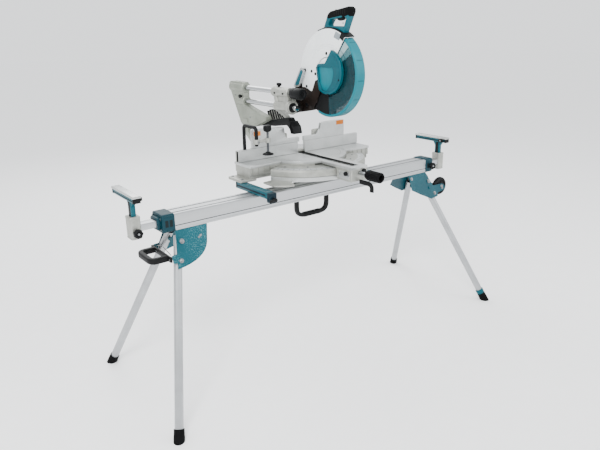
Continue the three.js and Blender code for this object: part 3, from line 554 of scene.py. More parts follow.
def makeRailEnd(side):
    s = -1 if side == "left" else 1
    e = railEnd
    postX = s * e["postX"]
    span = sorted((s * e["capInner"], s * e["capOuter"]))
    section = rect(-e["capHalf"], e["capHalf"], e["capLow"], e["capHigh"], 13)
    channel = [rect(-e["armHalf"] - 0.6, e["armHalf"] + 0.6, e["armLow"] - 0.6, e["armHigh"] + 0.6, 2)]
    body = slab("body", finishes["tealCasting"], section, "X", span[0], span[1], 3.5, channel)
    nose = sorted((s * (e["capOuter"] - 2), s * 780))
    collar = slab("collar", finishes["tealCasting"], rect(-31, 31, 693, 742, 11), "X", nose[0], nose[1],
                  2.5,
                  channel)
    parts = [body, collar]
    for y in (-39, 39):
        for z in (696, 738):
            parts.append(turned("boss", finishes["tealCasting"], [(0, 0), (6, 0), (6, 2), (5, 3), (0, 3)],
                                (s * e["capOuter"], y * 0.92, z), (s, 0, 0), 24))
            parts.append(turned("screw", finishes["bolt"],
                                [(0, 0), (3.4, 0), (3.4, 1.6), (2, 2.2), (0, 2.2)],
                                (s * (e["capOuter"] + 2.8), y * 0.92, z), (s, 0, 0), 16))
    for z in (690.5, 747):
        lip = sorted((s * (e["capInner"] + 8), s * (e["capOuter"] - 10)))
        for y in (-1, 1):
            ys = sorted((y * e["capHalf"], y * (e["capHalf"] - 1)))
            parts.append(block("rib", finishes["tealCasting"], lip, (ys[0] - 0.6, ys[1] + 0.3),
                               (z - 1.6, z + 1.6), 0.7))
    # Dark pockets on the cap sides: painted shade standing in for recesses.
    for y in (-1, 1):
        for x in (724, 742):
            xs = sorted((s * x, s * (x + 13)))
            if y * s < 0 and x == 742:
                continue
            ys = sorted((y * (e["capHalf"] - 0.8), y * (e["capHalf"] + 0.15)))
            parts.append(block("pocket", finishes["darkShadeAndMarks"], xs, ys, (704, 731), 0.3, 2))
    settle(joined(side + "EndCap", *parts), "stand", "teal_casting", side + "_end_cap")

    arm = sorted((s * 80, s * 842))
    bar = slab("bar", finishes["extruded"], rect(-20, 20, 704, 730, 3), "X", arm[0], arm[1], 1,
               [rect(-16, 16, 708, 726, 2)])
    head = sorted((s * 840, s * 881))
    slot = rect(*sorted((s * 850.4, s * 869.6)), -15.6, 15.6, 1.5)
    holder = slab("holder", finishes["castSilver"], rect(head[0], head[1], -25, 25, 8), "Z", 676, 764, 2.5,
                  [slot])
    trims = [bar, holder]
    for z in (680, 759):
        trims.append(slab("band", finishes["castSilver"],
                          rect(head[0] - 0.9, head[1] + 0.9, -25.9, 25.9, 8.5), "Z",
                          z - 2.5, z + 2.5, 1.2, [slot]))
    trims.append(turned("hub", finishes["castSilver"], [(0, -2), (11, -2), (10, 2), (0, 2)],
                        (postX, s * 25, 702), (0, s, 0), 32))
    settle(joined(side + "ExtensionArm", *trims), side + "_arm", "arm_aluminium", side + "_extension_arm")

    low, high = sorted((s * 851, s * 869))
    post = slab("post", finishes["tealPaint"], rect(low, high, -15, 15, 3), "Z", 692, 824, 0.8)
    stripX = sorted((s * 850.3, s * 851.2))
    inner = block("inner", finishes["blackPlastic"], stripX, (-8, 8), (700, 820), 0.3)
    outerX = sorted((s * 868.8, s * 869.7))
    outer = block("outer", finishes["blackPlastic"], outerX, (-8, 8), (700, 820), 0.3)
    head = rect(postX - 14, postX + 14, -59, 149, 3)
    beam = slab("beam", finishes["tealPaint"], head, "Z", 823, 840.6, 2)
    # Dark lines on the beam top: painted shade in its grooves.
    groove = [block("groove", finishes["darkShadeAndMarks"], (postX + k * 14 - 0.35, postX + k * 14 + 0.2),
                    (-52, 142),
                    (829, 833), 0.15) for k in (-1, 1)]
    tips = []
    for y0, y1 in ((-60, -50), (140, 150)):
        tips.append(block("tip", finishes["blackPlastic"], (postX - 14.9, postX + 14.9), (y0, y1),
                          (822.4, 841),
                          2.4, 3))
    lug = sorted((s * 834, s * 848))
    tips.append(block("lug", finishes["blackPlastic"], lug, (-46, -20), (826.4, 840.8), 2, 2))
    tips.append(screws("lugScrew", finishes["bolt"], [((s * 834.4, -33, 833), (-s, 0, 0))], 4, 2))
    gusset = slab("gusset", finishes["tealPaint"], [(-30, 823.5), (-15, 800), (15, 800), (30, 823.5)], "X",
                  postX - 7, postX + 7, 1.5)
    settle(joined(side + "SupportPost", post, inner, outer, beam, gusset, *groove, *tips),
           side + "_support",
           "teal_plate", side + "_support_post")
    top = [(postX - 17, 841.5), (postX + 17, 841.5), (postX + 17, 848), (postX + 14, 849.9),
           (postX - 14, 849.9), (postX - 17, 848)]
    strip = slab("strip", finishes["machined"], rounded(top, 1.5), "Y", -60, 150, 0.7)
    ribs = [block("rib", finishes["machined"], (postX + k - 1, postX + k + 1), (-58, 148), (849.3, 850),
                  0.3)
            for k in (-10, -5, 0, 5, 10)]
    settle(joined(side + "RestStrip", strip, *ribs), side + "_support", "arm_aluminium",
           side + "_rest_strip")

    knob = handKnob(side + "ArmKnob", s * 750, -s * 46.5, 715, -s)
    settle(knob, side + "_arm_lock", "black_plastic", side + "_arm_knob")
    knob = handKnob(side + "PostKnob", postX, s * 25, 702, s)
    settle(knob, side + "_post_lock", "black_plastic", side + "_post_knob")


makeRailEnd("left")
makeRailEnd("right")
# Dark lines along both rail faces: painted shade in the rail's grooves.
for y in (-43.4, 43.4):
    edge = -1 if y < 0 else 1
    trim = block("railLine", finishes["darkShadeAndMarks"], (-712, 712), sorted((y - 0.15 * edge, y - 1.2 * edge)),
                 (702.3, 704.8), 0.2)
    trim.name = "railLineFront" if y < 0 else "railLineRear"
    settle(trim, "stand", "rail_aluminium")
print("rail ends made")

# Feet, brackets and wheels.
legs = {"footX": 903, "slope": math.tan(math.radians(24.6)), "pivotX": 710, "left": 640, "right": 600,
        "inset": 19, "tube": 16.5}


def plateY(z):
    return 43 + (685 - z) * legs["slope"]


def makeFoot(front, side):
    g = -1 if front == "front" else 1
    s = -1 if side == "left" else 1
    hinge = Vector((s * legs["pivotX"], g * (plateY(legs[side]) - legs["inset"]), legs[side]))
    foot = Vector((s * legs["footX"], g * (plateY(0) - legs["inset"]), 0))
    along = (foot - hinge).normalized()
    length = (foot - hinge).length
    r = legs["tube"]
    outer = [(r + 0.6, -42), (r + 3.2, -42), (r + 3.4, -34), (r + 2.6, -33), (r + 3.6, -31), (r + 3.8, -24),
             (r + 3.0, -23), (r + 4.0, -21), (r + 4.2, -10), (r + 4.8, 20), (0, 20), (0, -6), (r + 0.6, -6)]
    profile = [(a, length + h) for a, h in outer]
    shoe = turned("shoe", finishes["rubber"], profile, hinge, along, 48)
    flat = block("flat", finishes["rubber"], (foot.x - 90, foot.x + 90), (foot.y - 90, foot.y + 90),
                 (-60, 0), 0.1)
    cutOut(shoe, flat)
    parts = [shoe]
    if (front, side) == ("front", "right"):
        ring = [(r + 0.5, -66), (r + 2.6, -66), (r + 3.3, -63), (r + 3.3, -46), (r + 2.6, -43),
                (r + 0.5, -43)]
        parts.append(turned("ring", finishes["tealPlastic"], [(a, length + h) for a, h in ring], hinge,
                            along, 60,
                            0, lambda a, b: 0.012 * (1 if math.sin(20 * a) > 0 else 0) if b > r + 2.5 else 0))
    name = front + side.capitalize() + "Foot"
    settle(joined(name, *parts), "leg_" + front + "_" + side, "foot_rubber", front + "_" + side + "_foot")


for frontOrRear in ("front", "rear"):
    for side in ("left", "right"):
        makeFoot(frontOrRear, side)


# Bolts and rivets on the slanted bracket sheets; (x, z, kind).
bracketBolts = {"left": [(-704, 644, 7), (-724, 578, 6)],
                "right": [(712, 640, 7), (803, 598, 8), (736, 578, 6),
                                                                   (598, 668, 5)]}


def makeBracketTrim(side):
    parts = []
    normal = Vector((0, -1, legs["slope"])).normalized()
    for g in (-1, 1):
        out = Vector((0, -normal.y * g * -1, normal.z)) if g < 0 else Vector((0, -normal.y, normal.z))
        out = Vector((0, g * abs(normal.y), normal.z))
        for x, z, radius in bracketBolts[side]:
            centre = Vector((x, g * (plateY(z) + 4), z)) + out * 0.2
            if abs(abs(x) - 710) < 8 or radius == 8:
                centre += out * (3.6 if radius == 7 else 0.2)
            parts.append(turned("washer", finishes["bolt"],
                                [(0, 0), (radius + 3, 0), (radius + 3, 1), (0, 1)],
                                centre, out, 32))
            parts.append(turned("bolt", finishes["bolt"], [(0, 0.8), (radius, 0.8), (radius, 3.6),
                                                           (radius * 0.72, 4.6), (0, 4.8)], centre, out,
                                6 if radius > 5 else 24))
        spot = {"left": (-630, 644), "right": (628, 628)}[side]
        if side == "left":
            for k in range(2):
                centre = Vector((spot[0] + 9 * k, g * (plateY(spot[1]) + 4), spot[1] + 7 * k))
                parts.append(turned("rivet", finishes["bolt"],
                                    [(0, -0.5), (4.2, -0.5), (4.2, 1.4), (2.6, 2.2), (0, 2.3)],
                                    centre, out, 24))
            start = Vector((-630, g * (plateY(644) + 5), 644))
            finish = Vector((-621, g * (plateY(651) + 5), 651))
            parts.append(swept("slotPlate", finishes["bolt"], [start, finish], 3.4))
    if side == "left":
        wire = [(-752, -66, 598), (-756, -30, 612), (-757, 0, 618), (-756, 30, 612), (-752, 66, 598)]
        parts.append(swept("wire", finishes["bolt"], wire, 1.6, 20))
    made = joined(side + "BracketTrim", *parts)
    settle(made, "stand", "polished_steel")


makeBracketTrim("left")
makeBracketTrim("right")


def makeWheel(name, y, body, node):
    half = 11
    tyre = [(8, -half), (17, -half), (19, -half + 2), (20, -half + 5), (33, -half + 5), (35, -half + 1),
            (38, -half),
            (44, -half + 0.4), (47, -half + 4), (48, -4), (46.8, -3.4), (46.8, -2.4), (48, -2), (48, 2),
            (46.8, 2.4),
            (46.8, 3.4), (48, 4), (47, half - 4), (44, half - 0.4), (38, half), (35, half - 1),
            (33, half - 5),
            (20, half - 5), (19, half - 2), (17, half), (8, half)]
    wheel = turned("wheel", finishes["blackPlastic"], tyre, (812, y, 597), (0, 1, 0), 72)
    parts = [wheel]
    for k in range(6):
        a = math.radians(60 * k + 15)
        for face in (-1, 1):
            inner = Vector((812 + 19 * math.cos(a), y + face * (half - 4.2), 597 + 19 * math.sin(a)))
            outer = Vector((812 + 35 * math.cos(a), y + face * (half - 4.2), 597 + 35 * math.sin(a)))
            parts.append(swept("spoke", finishes["blackPlastic"], [inner, outer], 2.4))
    for face in (-1, 1):
        parts.append(turned("cap", finishes["bolt"], [(0, 0), (7, 0), (7, 2), (5, 3.2), (0, 3.6)],
                            (812, y + face * half, 597), (0, face, 0), 32))
    settle(joined(name, *parts), body, "wheel_plastic", node)


makeWheel("frontWheel", -60, "wheel_front", "front_wheel")
makeWheel("rearWheel", 60, "wheel_rear", "rear_wheel")

# Carry handles and saw mounts.
handleSection = rounded([(-11, -9), (11, -9), (11, 9), (-11, 9)], 6, 4)


def makeHandles():
    path = [(-101, 0, 684), (-101, 0, 602), (73, 0, 602), (73, 0, 684)]
    loop = swept("loop", finishes["blackPlastic"], path, 11, 40, handleSection, 10)
    pads = [slab("pad", finishes["blackPlastic"], rect(x0, x1, -19, 19, 5), "Z", 677, 684.4, 1.6)
            for x0, x1 in ((-119, -83), (55, 91))]
    grips = []
    for x in range(-60, 36, 8):
        grips.append(slab("ring", finishes["blackPlastic"], rect(-12, 12, 591.2, 613, 6), "X", x - 1.2,
                          x + 1.2,
                          0.5))
    bolts = screws("bolts", finishes["bolt"],
                   [((x, y, 677.2), (0, 0, -1)) for x in (-113, 85) for y in (-11, 11)],
                   3.4, 2.4)
    settle(joined("centreHandle", loop, bolts, *pads, *grips), "stand", "black_plastic", "centre_handle")

    section = rounded([(-10.8, -11.5), (10.8, -11.5), (10.8, 11.5), (-10.8, 11.5)], 6.5, 4)
    path = [(-762, -60, 588), (-828, -60, 588), (-828, 60, 588), (-762, 60, 588)]
    loop = swept("loop", finishes["blackPlastic"], path, 11, 26, section, 10)
    root = block("root", finishes["blackPlastic"], (-766.4, -757.6), (-90, 90), (577, 599), 2.4, 3)
    bolts = screws("bolts", finishes["bolt"], [((-766, y, 588), (-1, 0, 0)) for y in (-80, -40, 40, 80)], 4,
                   2.2)
    settle(joined("endHandle", loop, root, bolts), "stand", "black_plastic", "end_handle")


def makeMount(side, x0, x1):
    s = -1 if side == "left" else 1
    low, high = 750.6, 777.4
    shell = slab("shell", finishes["tealPaint"], rect(x0, x1, -111, 133, 2), "Z", low, high, 1.2)
    channel = []
    for x in (x0, x1):
        channel.append(block("line", finishes["navyPlastic"], (x - 0.2, x + 0.2), (-98, 120), (760, 768),
                             0.15))
    tail = slab("tail", finishes["navyPlastic"], rect(x0 - 0.0, x1 + 0.0, 118, 133.8, 3), "Z", low,
                high - 0.1, 2)
    hook = slab("hook", finishes["navyPlastic"], rect(x0, x1, -133.6, -109, 4), "Z", 736.3, high - 0.1, 2.6)
    jaw = block("jaw", finishes["navyPlastic"], (x0 + 3, x1 - 3), (-112, -104), (738, 752), 2)
    bolts = screws("bolts", finishes["bolt"],
                   [(((x0 + x1) / 2, y, high - 1), (0, 0, 1)) for y in (-92, 60)], 5, 1.3)
    settle(joined(side + "MountBar", shell, tail, hook, jaw, bolts, *channel), "saw_mount", "teal_plate",
           side + "_mount_bar")
    x = (x0 + x1) / 2
    hub = turned("hub", finishes["blackPlastic"], [(0, 0), (7.6, 0), (8, 2), (8, 16), (6.5, 19), (0, 19.4)],
                 (x, -134.6, 752), (0, -1, 0), 32)
    blade = swept("blade", finishes["blackPlastic"],
                  [(x, -148, 752), (x + s * 12, -149, 752), (x + s * 29, -153, 752)],
                  5, 6, rounded([(-4.4, -6), (4.4, -6), (4.4, 6), (-4.4, 6)], 3))
    settle(joined(side + "ClampLever", hub, blade), side + "_clamp", "black_plastic", side + "_clamp_lever")


makeHandles()
makeMount("left", -334, -300)
makeMount("right", 226, 260)
print("handles and mounts made")

# Saw base, turntable and fences.
base = {"x": 60, "y": 163, "left": -292, "right": 412, "front": 72, "rear": 205, "top": 850, "disc": 209,
        "well": 211, "drum": 219, "bottom": 778}


# Part of a turned ring, from one angle to another about the upright mitre axis or the blade axis.
def partRing(name, material, profile, centre, axis, start, end, steps=48):
    bm = bmesh.new()
    rings = []
    for i in range(steps + 1):
        a = math.radians(start + (end - start) * i / steps)
        ring = []
        for r, h in profile:
            u, v = r * math.cos(a), r * math.sin(a)
            spot = (centre[0] + h, centre[1] + u, centre[2] + v) if axis == "X" else (
                centre[0] + u, centre[1] + v, centre[2] + h)
            ring.append(bm.verts.new(put(spot)))
        rings.append(ring)
    n = len(profile)
    for low, high in zip(rings, rings[1:]):
        for i in range(n):
            j = (i + 1) % n
            bm.faces.new((low[i], low[j], high[j], high[i]))
    bm.faces.new(rings[0])
    bm.faces.new(list(reversed(rings[-1])))
    return piece(name, bm, material)


def wingOutline(s, grow=0):
    b = base
    half = b["well"] - grow
    edge = b["left"] + grow if s < 0 else b["right"] - grow
    front, rear = b["front"] + grow, b["rear"] - grow
    first = math.degrees(math.asin((front - b["y"]) / half))
    last = math.degrees(math.asin((rear - b["y"]) / half))
    curve = [(b["x"] + s * half * math.cos(math.radians(a)), b["y"] + half * math.sin(math.radians(a)))
             for a in [first + (last - first) * k / 10 for k in range(11)]]
    return [(edge, front), *curve, (edge, rear)] if s < 0 else [(edge, rear), *reversed(curve),
            (edge, front)]


def makeBase():
    b = base
    metal, machined = finishes["castSilver"], finishes["machined"]
    parts = []
    for s in (-1, 1):
        parts.append(slab("wingTop", machined, wingOutline(s), "Z", 838, b["top"] - 0.1, 1.6))
        parts.append(slab("wingBody", metal, wingOutline(s, 3), "Z", 806, 840, 2.5))
        edge = b["left"] if s < 0 else b["right"]
        for k in range(5):
            x = edge - s * (14 + 30 * k)
            parts.append(block("wingRib", metal, (x - 2, x + 2), (b["front"] + 0.2, b["front"] + 4),
                               (808, 838), 1))
        foot = (b["left"] - 44, b["left"] + 40) if s < 0 else (b["right"] - 190, b["right"] - 100)
        parts.append(slab("foot", metal, rect(*foot, 84, 196, 10), "Z", 778, 790, 2.5))
        post = (b["left"] + 1, b["left"] + 40) if s < 0 else (b["right"] - 40, b["right"] - 1)
        parts.append(slab("post", metal, rect(*post, 85, 195, 4), "Z", 786, 842, 2))
        span = (b["left"] + 30, b["left"] + 150) if s < 0 else (b["right"] - 165, b["right"] - 35)
        parts.append(block("web", metal, span, (93, 111), (784, 843), 1.5))
        holes = [((foot[0] + 16, y, 789.5), (0, 0, 1)) for y in (100, 180)]
        parts.append(screws("footBolts", finishes["bolt"], holes, 6, 4))
    ring = [(b["well"] + 0.4, 778), (b["drum"] - 1.5, 778), (b["drum"], 779.5), (b["drum"], 829),
            (b["drum"] - 3, 832),
            (b["well"] + 0.4, 832)]
    parts.append(partRing("drum", metal, ring, (b["x"], b["y"], 0), "Z", 143, 385, 110))
    low = [(r, min(z, 791.5)) for r, z in ring[:4]] + [(b["well"] + 0.4, 791.5)]
    parts.append(partRing("drumRear", metal, low, (b["x"], b["y"], 0), "Z", 24.8, 143.2, 50))
    parts.append(turned("floorPlate", metal, [(33, 778), (214, 778), (214, 789), (33, 789)],
                        (b["x"], b["y"], 0), (0, 0, 1), 96))
    fascia = [(212, 798), (297, 798), (300, 801), (300, 824), (294, 831), (212, 831)]
    parts.append(partRing("fascia", metal, rounded(fascia, 2.5, 3), (b["x"], b["y"], 0), "Z", 205, 335, 72))
    lip = [(284, 779.5), (299, 779.5), (300.5, 781), (300.5, 797), (299, 798.5), (284, 798.5)]
    parts.append(partRing("scaleLip", machined, lip, (b["x"], b["y"], 0), "Z", 205, 335, 72))
    apron = rounded([(-264, 24), (-196, 30), (-160, -38), (-186, -110), (-228, -92), (-264, -58)],
                    [10, 14, 16, 18, 16, 10], 5)
    parts.append(slab("apron", metal, apron, "Z", 778.4, 784.4, 1.6))
    parts.append(screws("apronBolts", finishes["bolt"],
                        [((x, y, 784), (0, 0, 1)) for x, y in ((-236, -62), (-240, 4))],
                        6, 0.6))
    band = [(266, 830.6), (293, 830.6), (293, 831.5), (266, 831.5)]
    parts.append(partRing("scale", machined, band, (b["x"], b["y"], 0), "Z", 208, 332, 72))
    for k in range(-60, 61, 5):
        a = math.radians(270 + k)
        inner = 279 if k % 15 else 272
        tick = [(inner, 831.4), (291, 831.4), (291, 831.8), (inner, 831.8)]
        parts.append(partRing("tick", finishes["darkShadeAndMarks"], tick, (b["x"], b["y"], 0), "Z",
                              270 + k - 0.16, 270 + k + 0.16, 1))
    parts.append(slab("frontFoot", metal, rect(b["x"] - 212, b["x"] - 168, -38, -4, 6), "Z", 778, 812, 2))
    for a in (214, 238, 302, 326):
        spot = (b["x"] + 240 * math.cos(math.radians(a)), b["y"] + 240 * math.sin(math.radians(a)), 831)
        parts.append(screws("scaleScrew", finishes["bolt"], [(spot, (0, 0, 1))], 4, 2.5))
    settle(joined("sawBase", *parts), "saw_mount", "cast_silver", "saw_base")


def makeTurntable():
    b = base
    cx, cy, r = b["x"], b["y"], b["disc"]
    metal, machined = finishes["castSilver"], finishes["machined"]
    meet = math.degrees(math.atan2(-math.sqrt(r * r - 51 * 51), 51))
    disc = arc(cx, cy, r, meet, 180 - meet, 110)
    top = rounded([(cx - 46, -238), (cx + 46, -238)], 0) + disc
    slotLoop = rect(cx - 20, cx + 20, -212, 196, 8, 5)
    parts = [slab("top", machined, top, "Z", 838.2, b["top"], 1.4, [slotLoop])]
    groove = [(r - 26, b["top"] - 0.2), (r - 24, b["top"] - 0.2), (r - 24, b["top"] + 0.05),
              (r - 26, b["top"] + 0.05)]
    parts.append(partRing("groove", metal, groove, (cx, cy, 0), "Z", -60, 240, 90))
    skirt = [(201, 803.5), (208.6, 803.5), (208.6, 839), (201, 839)]
    parts.append(partRing("skirt", metal, skirt, (cx, cy, 0), "Z", -68, 248, 110))
    parts.append(slab("toe", metal,
                      rounded([(-238, 785), (-238, 839.5), (-30, 839.5), (-30, 833.4), (-138, 833.4),
                                             (-144, 785)], [6, 3, 0, 0, 6, 6]), "X", cx - 46, cx + 46, 4))
    for s in (-1, 1):
        x = cx + s * 46
        parts.append(block("panel", machined, sorted((x - s * 0.8, x + s * 0.35)), (-226, -156), (794, 828),
                           0.3, 5))
        for y in (-218, -164):
            parts.append(screws("panelScrew", finishes["bolt"], [((x + s * 0.3, y, 811), (s, 0, 0))], 3.4,
                                2))
    parts.append(block("guide", metal, (cx - 68, cx + 68), (300, 362), (800, 839.5), 3))
    for s in (-1, 1):
        parts.append(turned("seal", finishes["blackPlastic"], [(12.6, 0), (18, 0), (18, 3), (12.6, 3)],
                            (cx + s * 45, 362, 816), (0, 1, 0), 40))
    parts.append(turned("stub", metal, [(0, 791), (27, 791), (27, 838), (0, 838)], (cx, cy, 0), (0, 0, 1),
                        40))
    settle(joined("turntable", *parts), "table", "cast_silver", "turntable")
    loop = rect(cx - 19.6, cx + 19.6, -211.6, 195.6, 7.6, 5)
    slot = rect(cx - 10, cx + 10, -200, 180, 3, 3)
    insert = slab("insert", finishes["blackPlastic"], loop, "Z", 846, 849.6, 0.5, [slot])
    bolts = screws("bolts", finishes["bolt"], [((cx + s * 15, y, 849), (0, 0, 1)) for s in (-1, 1)
                                               for y in (-190, -80, 40, 160)], 2.8, 0.8)
    settle(joined("kerfPlate", insert, bolts), "table", "black_plastic", "kerf_plate")

    black = finishes["blackPlastic"]
    outer = [(13, -129.6), (19, -129.6), (22, -126), (22, -58), (20.5, -55), (17, -47), (9, -43), (8, -40),
             (8, 0), (0, 0),
             (0, -112), (12, -112)]
    grip = turned("grip", finishes["rubber"], [(a, -h) for a, h in outer], (cx, -238.4, 822), (0, -1, 0),
                  56,
                  0, lambda a, q: 0.028 * math.cos(18 * a) if q > 21.5 else 0)
    stem = turned("stem", finishes["bolt"], [(0, 1), (8.2, 1), (8.2, 38), (0, 38)], (cx, -238.4, 822),
                  (0, -1, 0), 32)
    settle(joined("mitreGrip", grip, stem), "mitre_lock", "grip_rubber", "mitre_grip")
    path = [(cx, -242, 784), (cx, -300, 784), (cx, -314, 776), (cx, -315, 751)]
    lever = swept("mitreLever", black, path, 8, 12, rounded([(-10, -4), (10, -4), (10, 4), (-10, 4)], 3), 8)
    settle(lever, "mitre_detent", "black_plastic", "mitre_lever")
    dials = (("armDialLeft", (cx - 46.2, -206, 820), (-1, 0, 0)),
             ("armDialFront", (cx + 22, -238, 829), (0, -1, 0)))
    for name, spot, outward in dials:
        dial = turned(name, black, [(0, 0), (9, 0), (9.4, 2), (9, 10), (7, 11.5), (0, 11.6)], spot, outward,
                      36, 0,
                      lambda a, q: 0.05 * math.cos(9 * a) if q > 8.9 else 0)
        settle(dial, "table", "black_plastic")


def makeFences():
    metal, machined = finishes["castSilver"], finishes["machined"]
    parts = [slab("left", machined, rect(-296, 36, 850.5, 903, 2), "Y", 163, 178, 1.2),
             slab("right", machined, rect(76, 416, 850.5, 903, 2), "Y", 163, 178, 1.2),
             slab("bridge", metal, rect(0, 120, 177, 202, 6), "Z", 850.5, 862, 2)]
    for x in list(range(-280, 20, 42)) + list(range(96, 410, 42)):
        if -276 < x < -232:
            continue
        parts.append(slab("rib", metal, [(177, 851), (190, 851), (186, 872), (177, 876)], "X", x - 2.5,
                          x + 2.5, 1))
    parts.append(block("endLeft", metal, (-296, -262), (163.2, 186), (850.5, 902.8), 2))
    parts.append(block("pad", metal, (-268, -240), (163.2, 187), (850.5, 902.8), 2))
    parts.append(screws("bolts", finishes["bolt"], [((x, 190, 862), (0, 0, 1)) for x in (12, 108)], 5, 5))
    settle(joined("lowerFence", *parts), "saw_mount", "fence_silver", "lower_fence")

    left = rounded([(-220, 903.6), (45, 903.6), (45, 926), (-18, 926), (-36, 934), (-44, 982), (-220, 990)],
                   [2, 3, 3, 10, 12, 8, 8], 5)
    right = rounded([(325, 903.6), (325, 981), (178, 981), (170, 948), (146, 926), (72, 926), (72, 903.6)],
                    [2, 8, 8, 16, 14, 3, 2], 5)
    tails = {"left": (-218, -12), "right": (130, 323)}
    labels = {"left": (-211, -174), "right": (274, 320)}
    for side, shape in (("left", left), ("right", right)):
        face = slab("face", machined, shape, "Y", 163.1, 178, 1.2)
        tail = slab("tail", metal, rect(*tails[side], 879, 903.6, 4), "Y", 178.7, 187, 1)
        brace = slab("brace", metal, rect(tails[side][0] + 4, tails[side][1] - 4, 900, 950, 8), "Y", 177,
                     186.5, 2)
        low = labels[side][0]
        label = block("label", finishes["orangeLabel"], (low, labels[side][1]), (162.95, 163.2), (958, 979),
                      0.1, 2)
        label.name = "label"
        bolts = screws("bolts", finishes["bolt"],
                       [((tails[side][0] + k, 186.6, 892), (0, 1, 0)) for k in (30, 150)],
                       5, 2.2)
        settle(joined(side + "UpperFence", face, tail, brace, label, bolts), side + "_fence",
               "fence_silver",
               side + "_upper_fence")


makeBase()
makeTurntable()
makeFences()
print("base, turntable and fences made")

# Slide: hub, rear arm, rods, carriage and chute.
slide = {"x": -40, "top": 1140, "low": 1076, "rod": 12.5, "hubX": 60}


def makeSlide():
    x, top, low = slide["x"], slide["top"], slide["low"]
    warm, silver, black = finishes["warmCasting"], finishes["castSilver"], finishes["blackPlastic"]
    cx = slide["hubX"]
    hub = [slab("plate", silver, rect(cx - 62, cx + 62, 792, 880, 10), "Y", 426, 447, 3)]
    hub.append(turned("shaft", finishes["polished"], [(0, 0), (19.6, 0), (19.6, 66), (17, 68), (0, 68)],
                      (cx, 438, 850), (0, 1, 0), 48))
    hub.append(turned("nut", finishes["bolt"], [(0, 0), (15, 0), (15, 8), (12, 10), (0, 10)],
                      (cx, 496, 850),
                      (0, 1, 0), 6))
    for s in (-1, 1):
        hub.append(turned("pole", finishes["polished"],
                          [(0, 0), (11.2, 0), (11.9, 1), (11.9, 222), (0, 222)],
                          (cx + s * 45, 205, 816), (0, 1, 0), 48))
    hub.append(screws("bolts", finishes["bolt"], [((cx + s * 45, 447, z), (0, 1, 0)) for s in (-1, 1)
                                                  for z in (816, 868)], 5, 4))
    settle(joined("slideHub", *hub), "lower_slide", "cast_silver", "slide_hub")

    outline = rounded([(480, 1166), (596, 1168), (615.6, 1158), (608, 1132), (512, 956), (400, 956),
                       (288, 1000),
                       (296, 1016), (430, 1046), (480, 1060)], [12, 18, 16, 22, 30, 30, 6, 8, 40, 10], 6)
    arm = [slab("web", warm, outline, "X", x - 16.5, x + 16.5, 5, (), 4)]
    inner = rounded([(496, 1120), (582, 1122), (505, 976), (410, 976), (330, 1004), (440, 1030),
                     (492, 1046)],
                    [10, 14, 24, 24, 8, 30, 8], 5)
    for s in (-1, 1):
        face = x + s * 16.5
        arm.append(slab("border", warm, outline, "X", *sorted((face - s * 1.5, face + s * 0.45)), 0.4,
                        [inner]))
    for z, end, radius in ((top, 606, 26), (low, 560, 24)):
        profile = [(13, 0), (radius - 3, 0), (radius, 3), (radius, end - 481), (radius - 3, end - 478),
                   (0, end - 478),
                   (0, 100), (13, 100)]
        if end - 478 < 101:
            profile = profile[:-2] + [(0, 60), (13, 60)]
        arm.append(turned("boss", warm, profile, (x, 478, z), (0, 1, 0), 56))
        arm.append(turned("clampScrew", finishes["bolt"], [(0, 0), (5, 0), (5, 4), (3.5, 5), (0, 5)],
                          (x, 540, z + radius - 1), (0, 0, 1), 20))
    foot = rounded([(x - 20, 990), (x + 18, 990), (x + 20, 936), (cx + 46, 880), (cx + 40, 820),
                    (cx - 50, 820),
                    (x - 20, 930)], [2, 2, 30, 20, 16, 30, 20], 6)
    arm.append(slab("foot", warm, foot, "Y", 452.5, 499.5, 4))
    arm.append(turned("hubDisc", warm, [(20.4, 0), (53, 0), (56, 3), (56, 49), (53, 52), (20.4, 52)],
                      (cx, 450, 850),
                      (0, 1, 0), 72))
    for k in range(-45, 46, 15):
        a = math.radians(90 + k)
        bar = [(cx + r * math.cos(a), 502.15, 850 + r * math.sin(a)) for r in (44, 52)]
        arm.append(swept("tick", finishes["darkShadeAndMarks"], bar, 0.5))
    arm.append(turned("armKnob", black, [(0, 0), (5, 0), (5, 7), (8.5, 8), (9, 15), (7.5, 17), (0, 17.4)],
                      (x - 16, 499, 1099), (-1, 0, 0), 32, 0, lambda a,
                      q: 0.06 * math.cos(6 * a) if q > 8 else 0))
    arm.append(screws("armScrews", finishes["bolt"], [((x - 16.6, y, z), (-1, 0, 0)) for y, z in
                                                      ((470, 985), (430, 1000), (560, 1100))], 4, 2))
    settle(joined("rearArm", *arm), "bevel_arm", "warm_casting", "rear_arm")
    for name, start, end, z in (("topRod", 46, 589, top), ("bottomRod", 64, 544, low)):
        length = end - start
        rod = turned(name, finishes["polished"], [(0, 0), (11.6, 0), (12.5, 1), (12.5, length - 1),
                                                  (11.6, length),
                                                  (0, length)], (x, start, z), (0, 1, 0), 56)
        settle(rod, "bevel_arm", "polished_steel", "top_rod" if z == top else "bottom_rod")
    cap = [(12.9, 0), (23.5, 0), (25, 1.6), (25, 20), (24, 21), (24, 23), (25, 24), (25, 62), (22, 69),
           (14, 70),
           (11, 68), (9, 62), (0, 61), (0, 46), (12.9, 46)]
    capPiece = turned("rodCap", black, cap, (x, 92, top), (0, -1, 0), 56, 0,
                      lambda a, q: 0.012 * math.cos(24 * a) if q > 24.5 else 0)
    settle(capPiece, "bevel_arm", "black_plastic", "rod_cap")


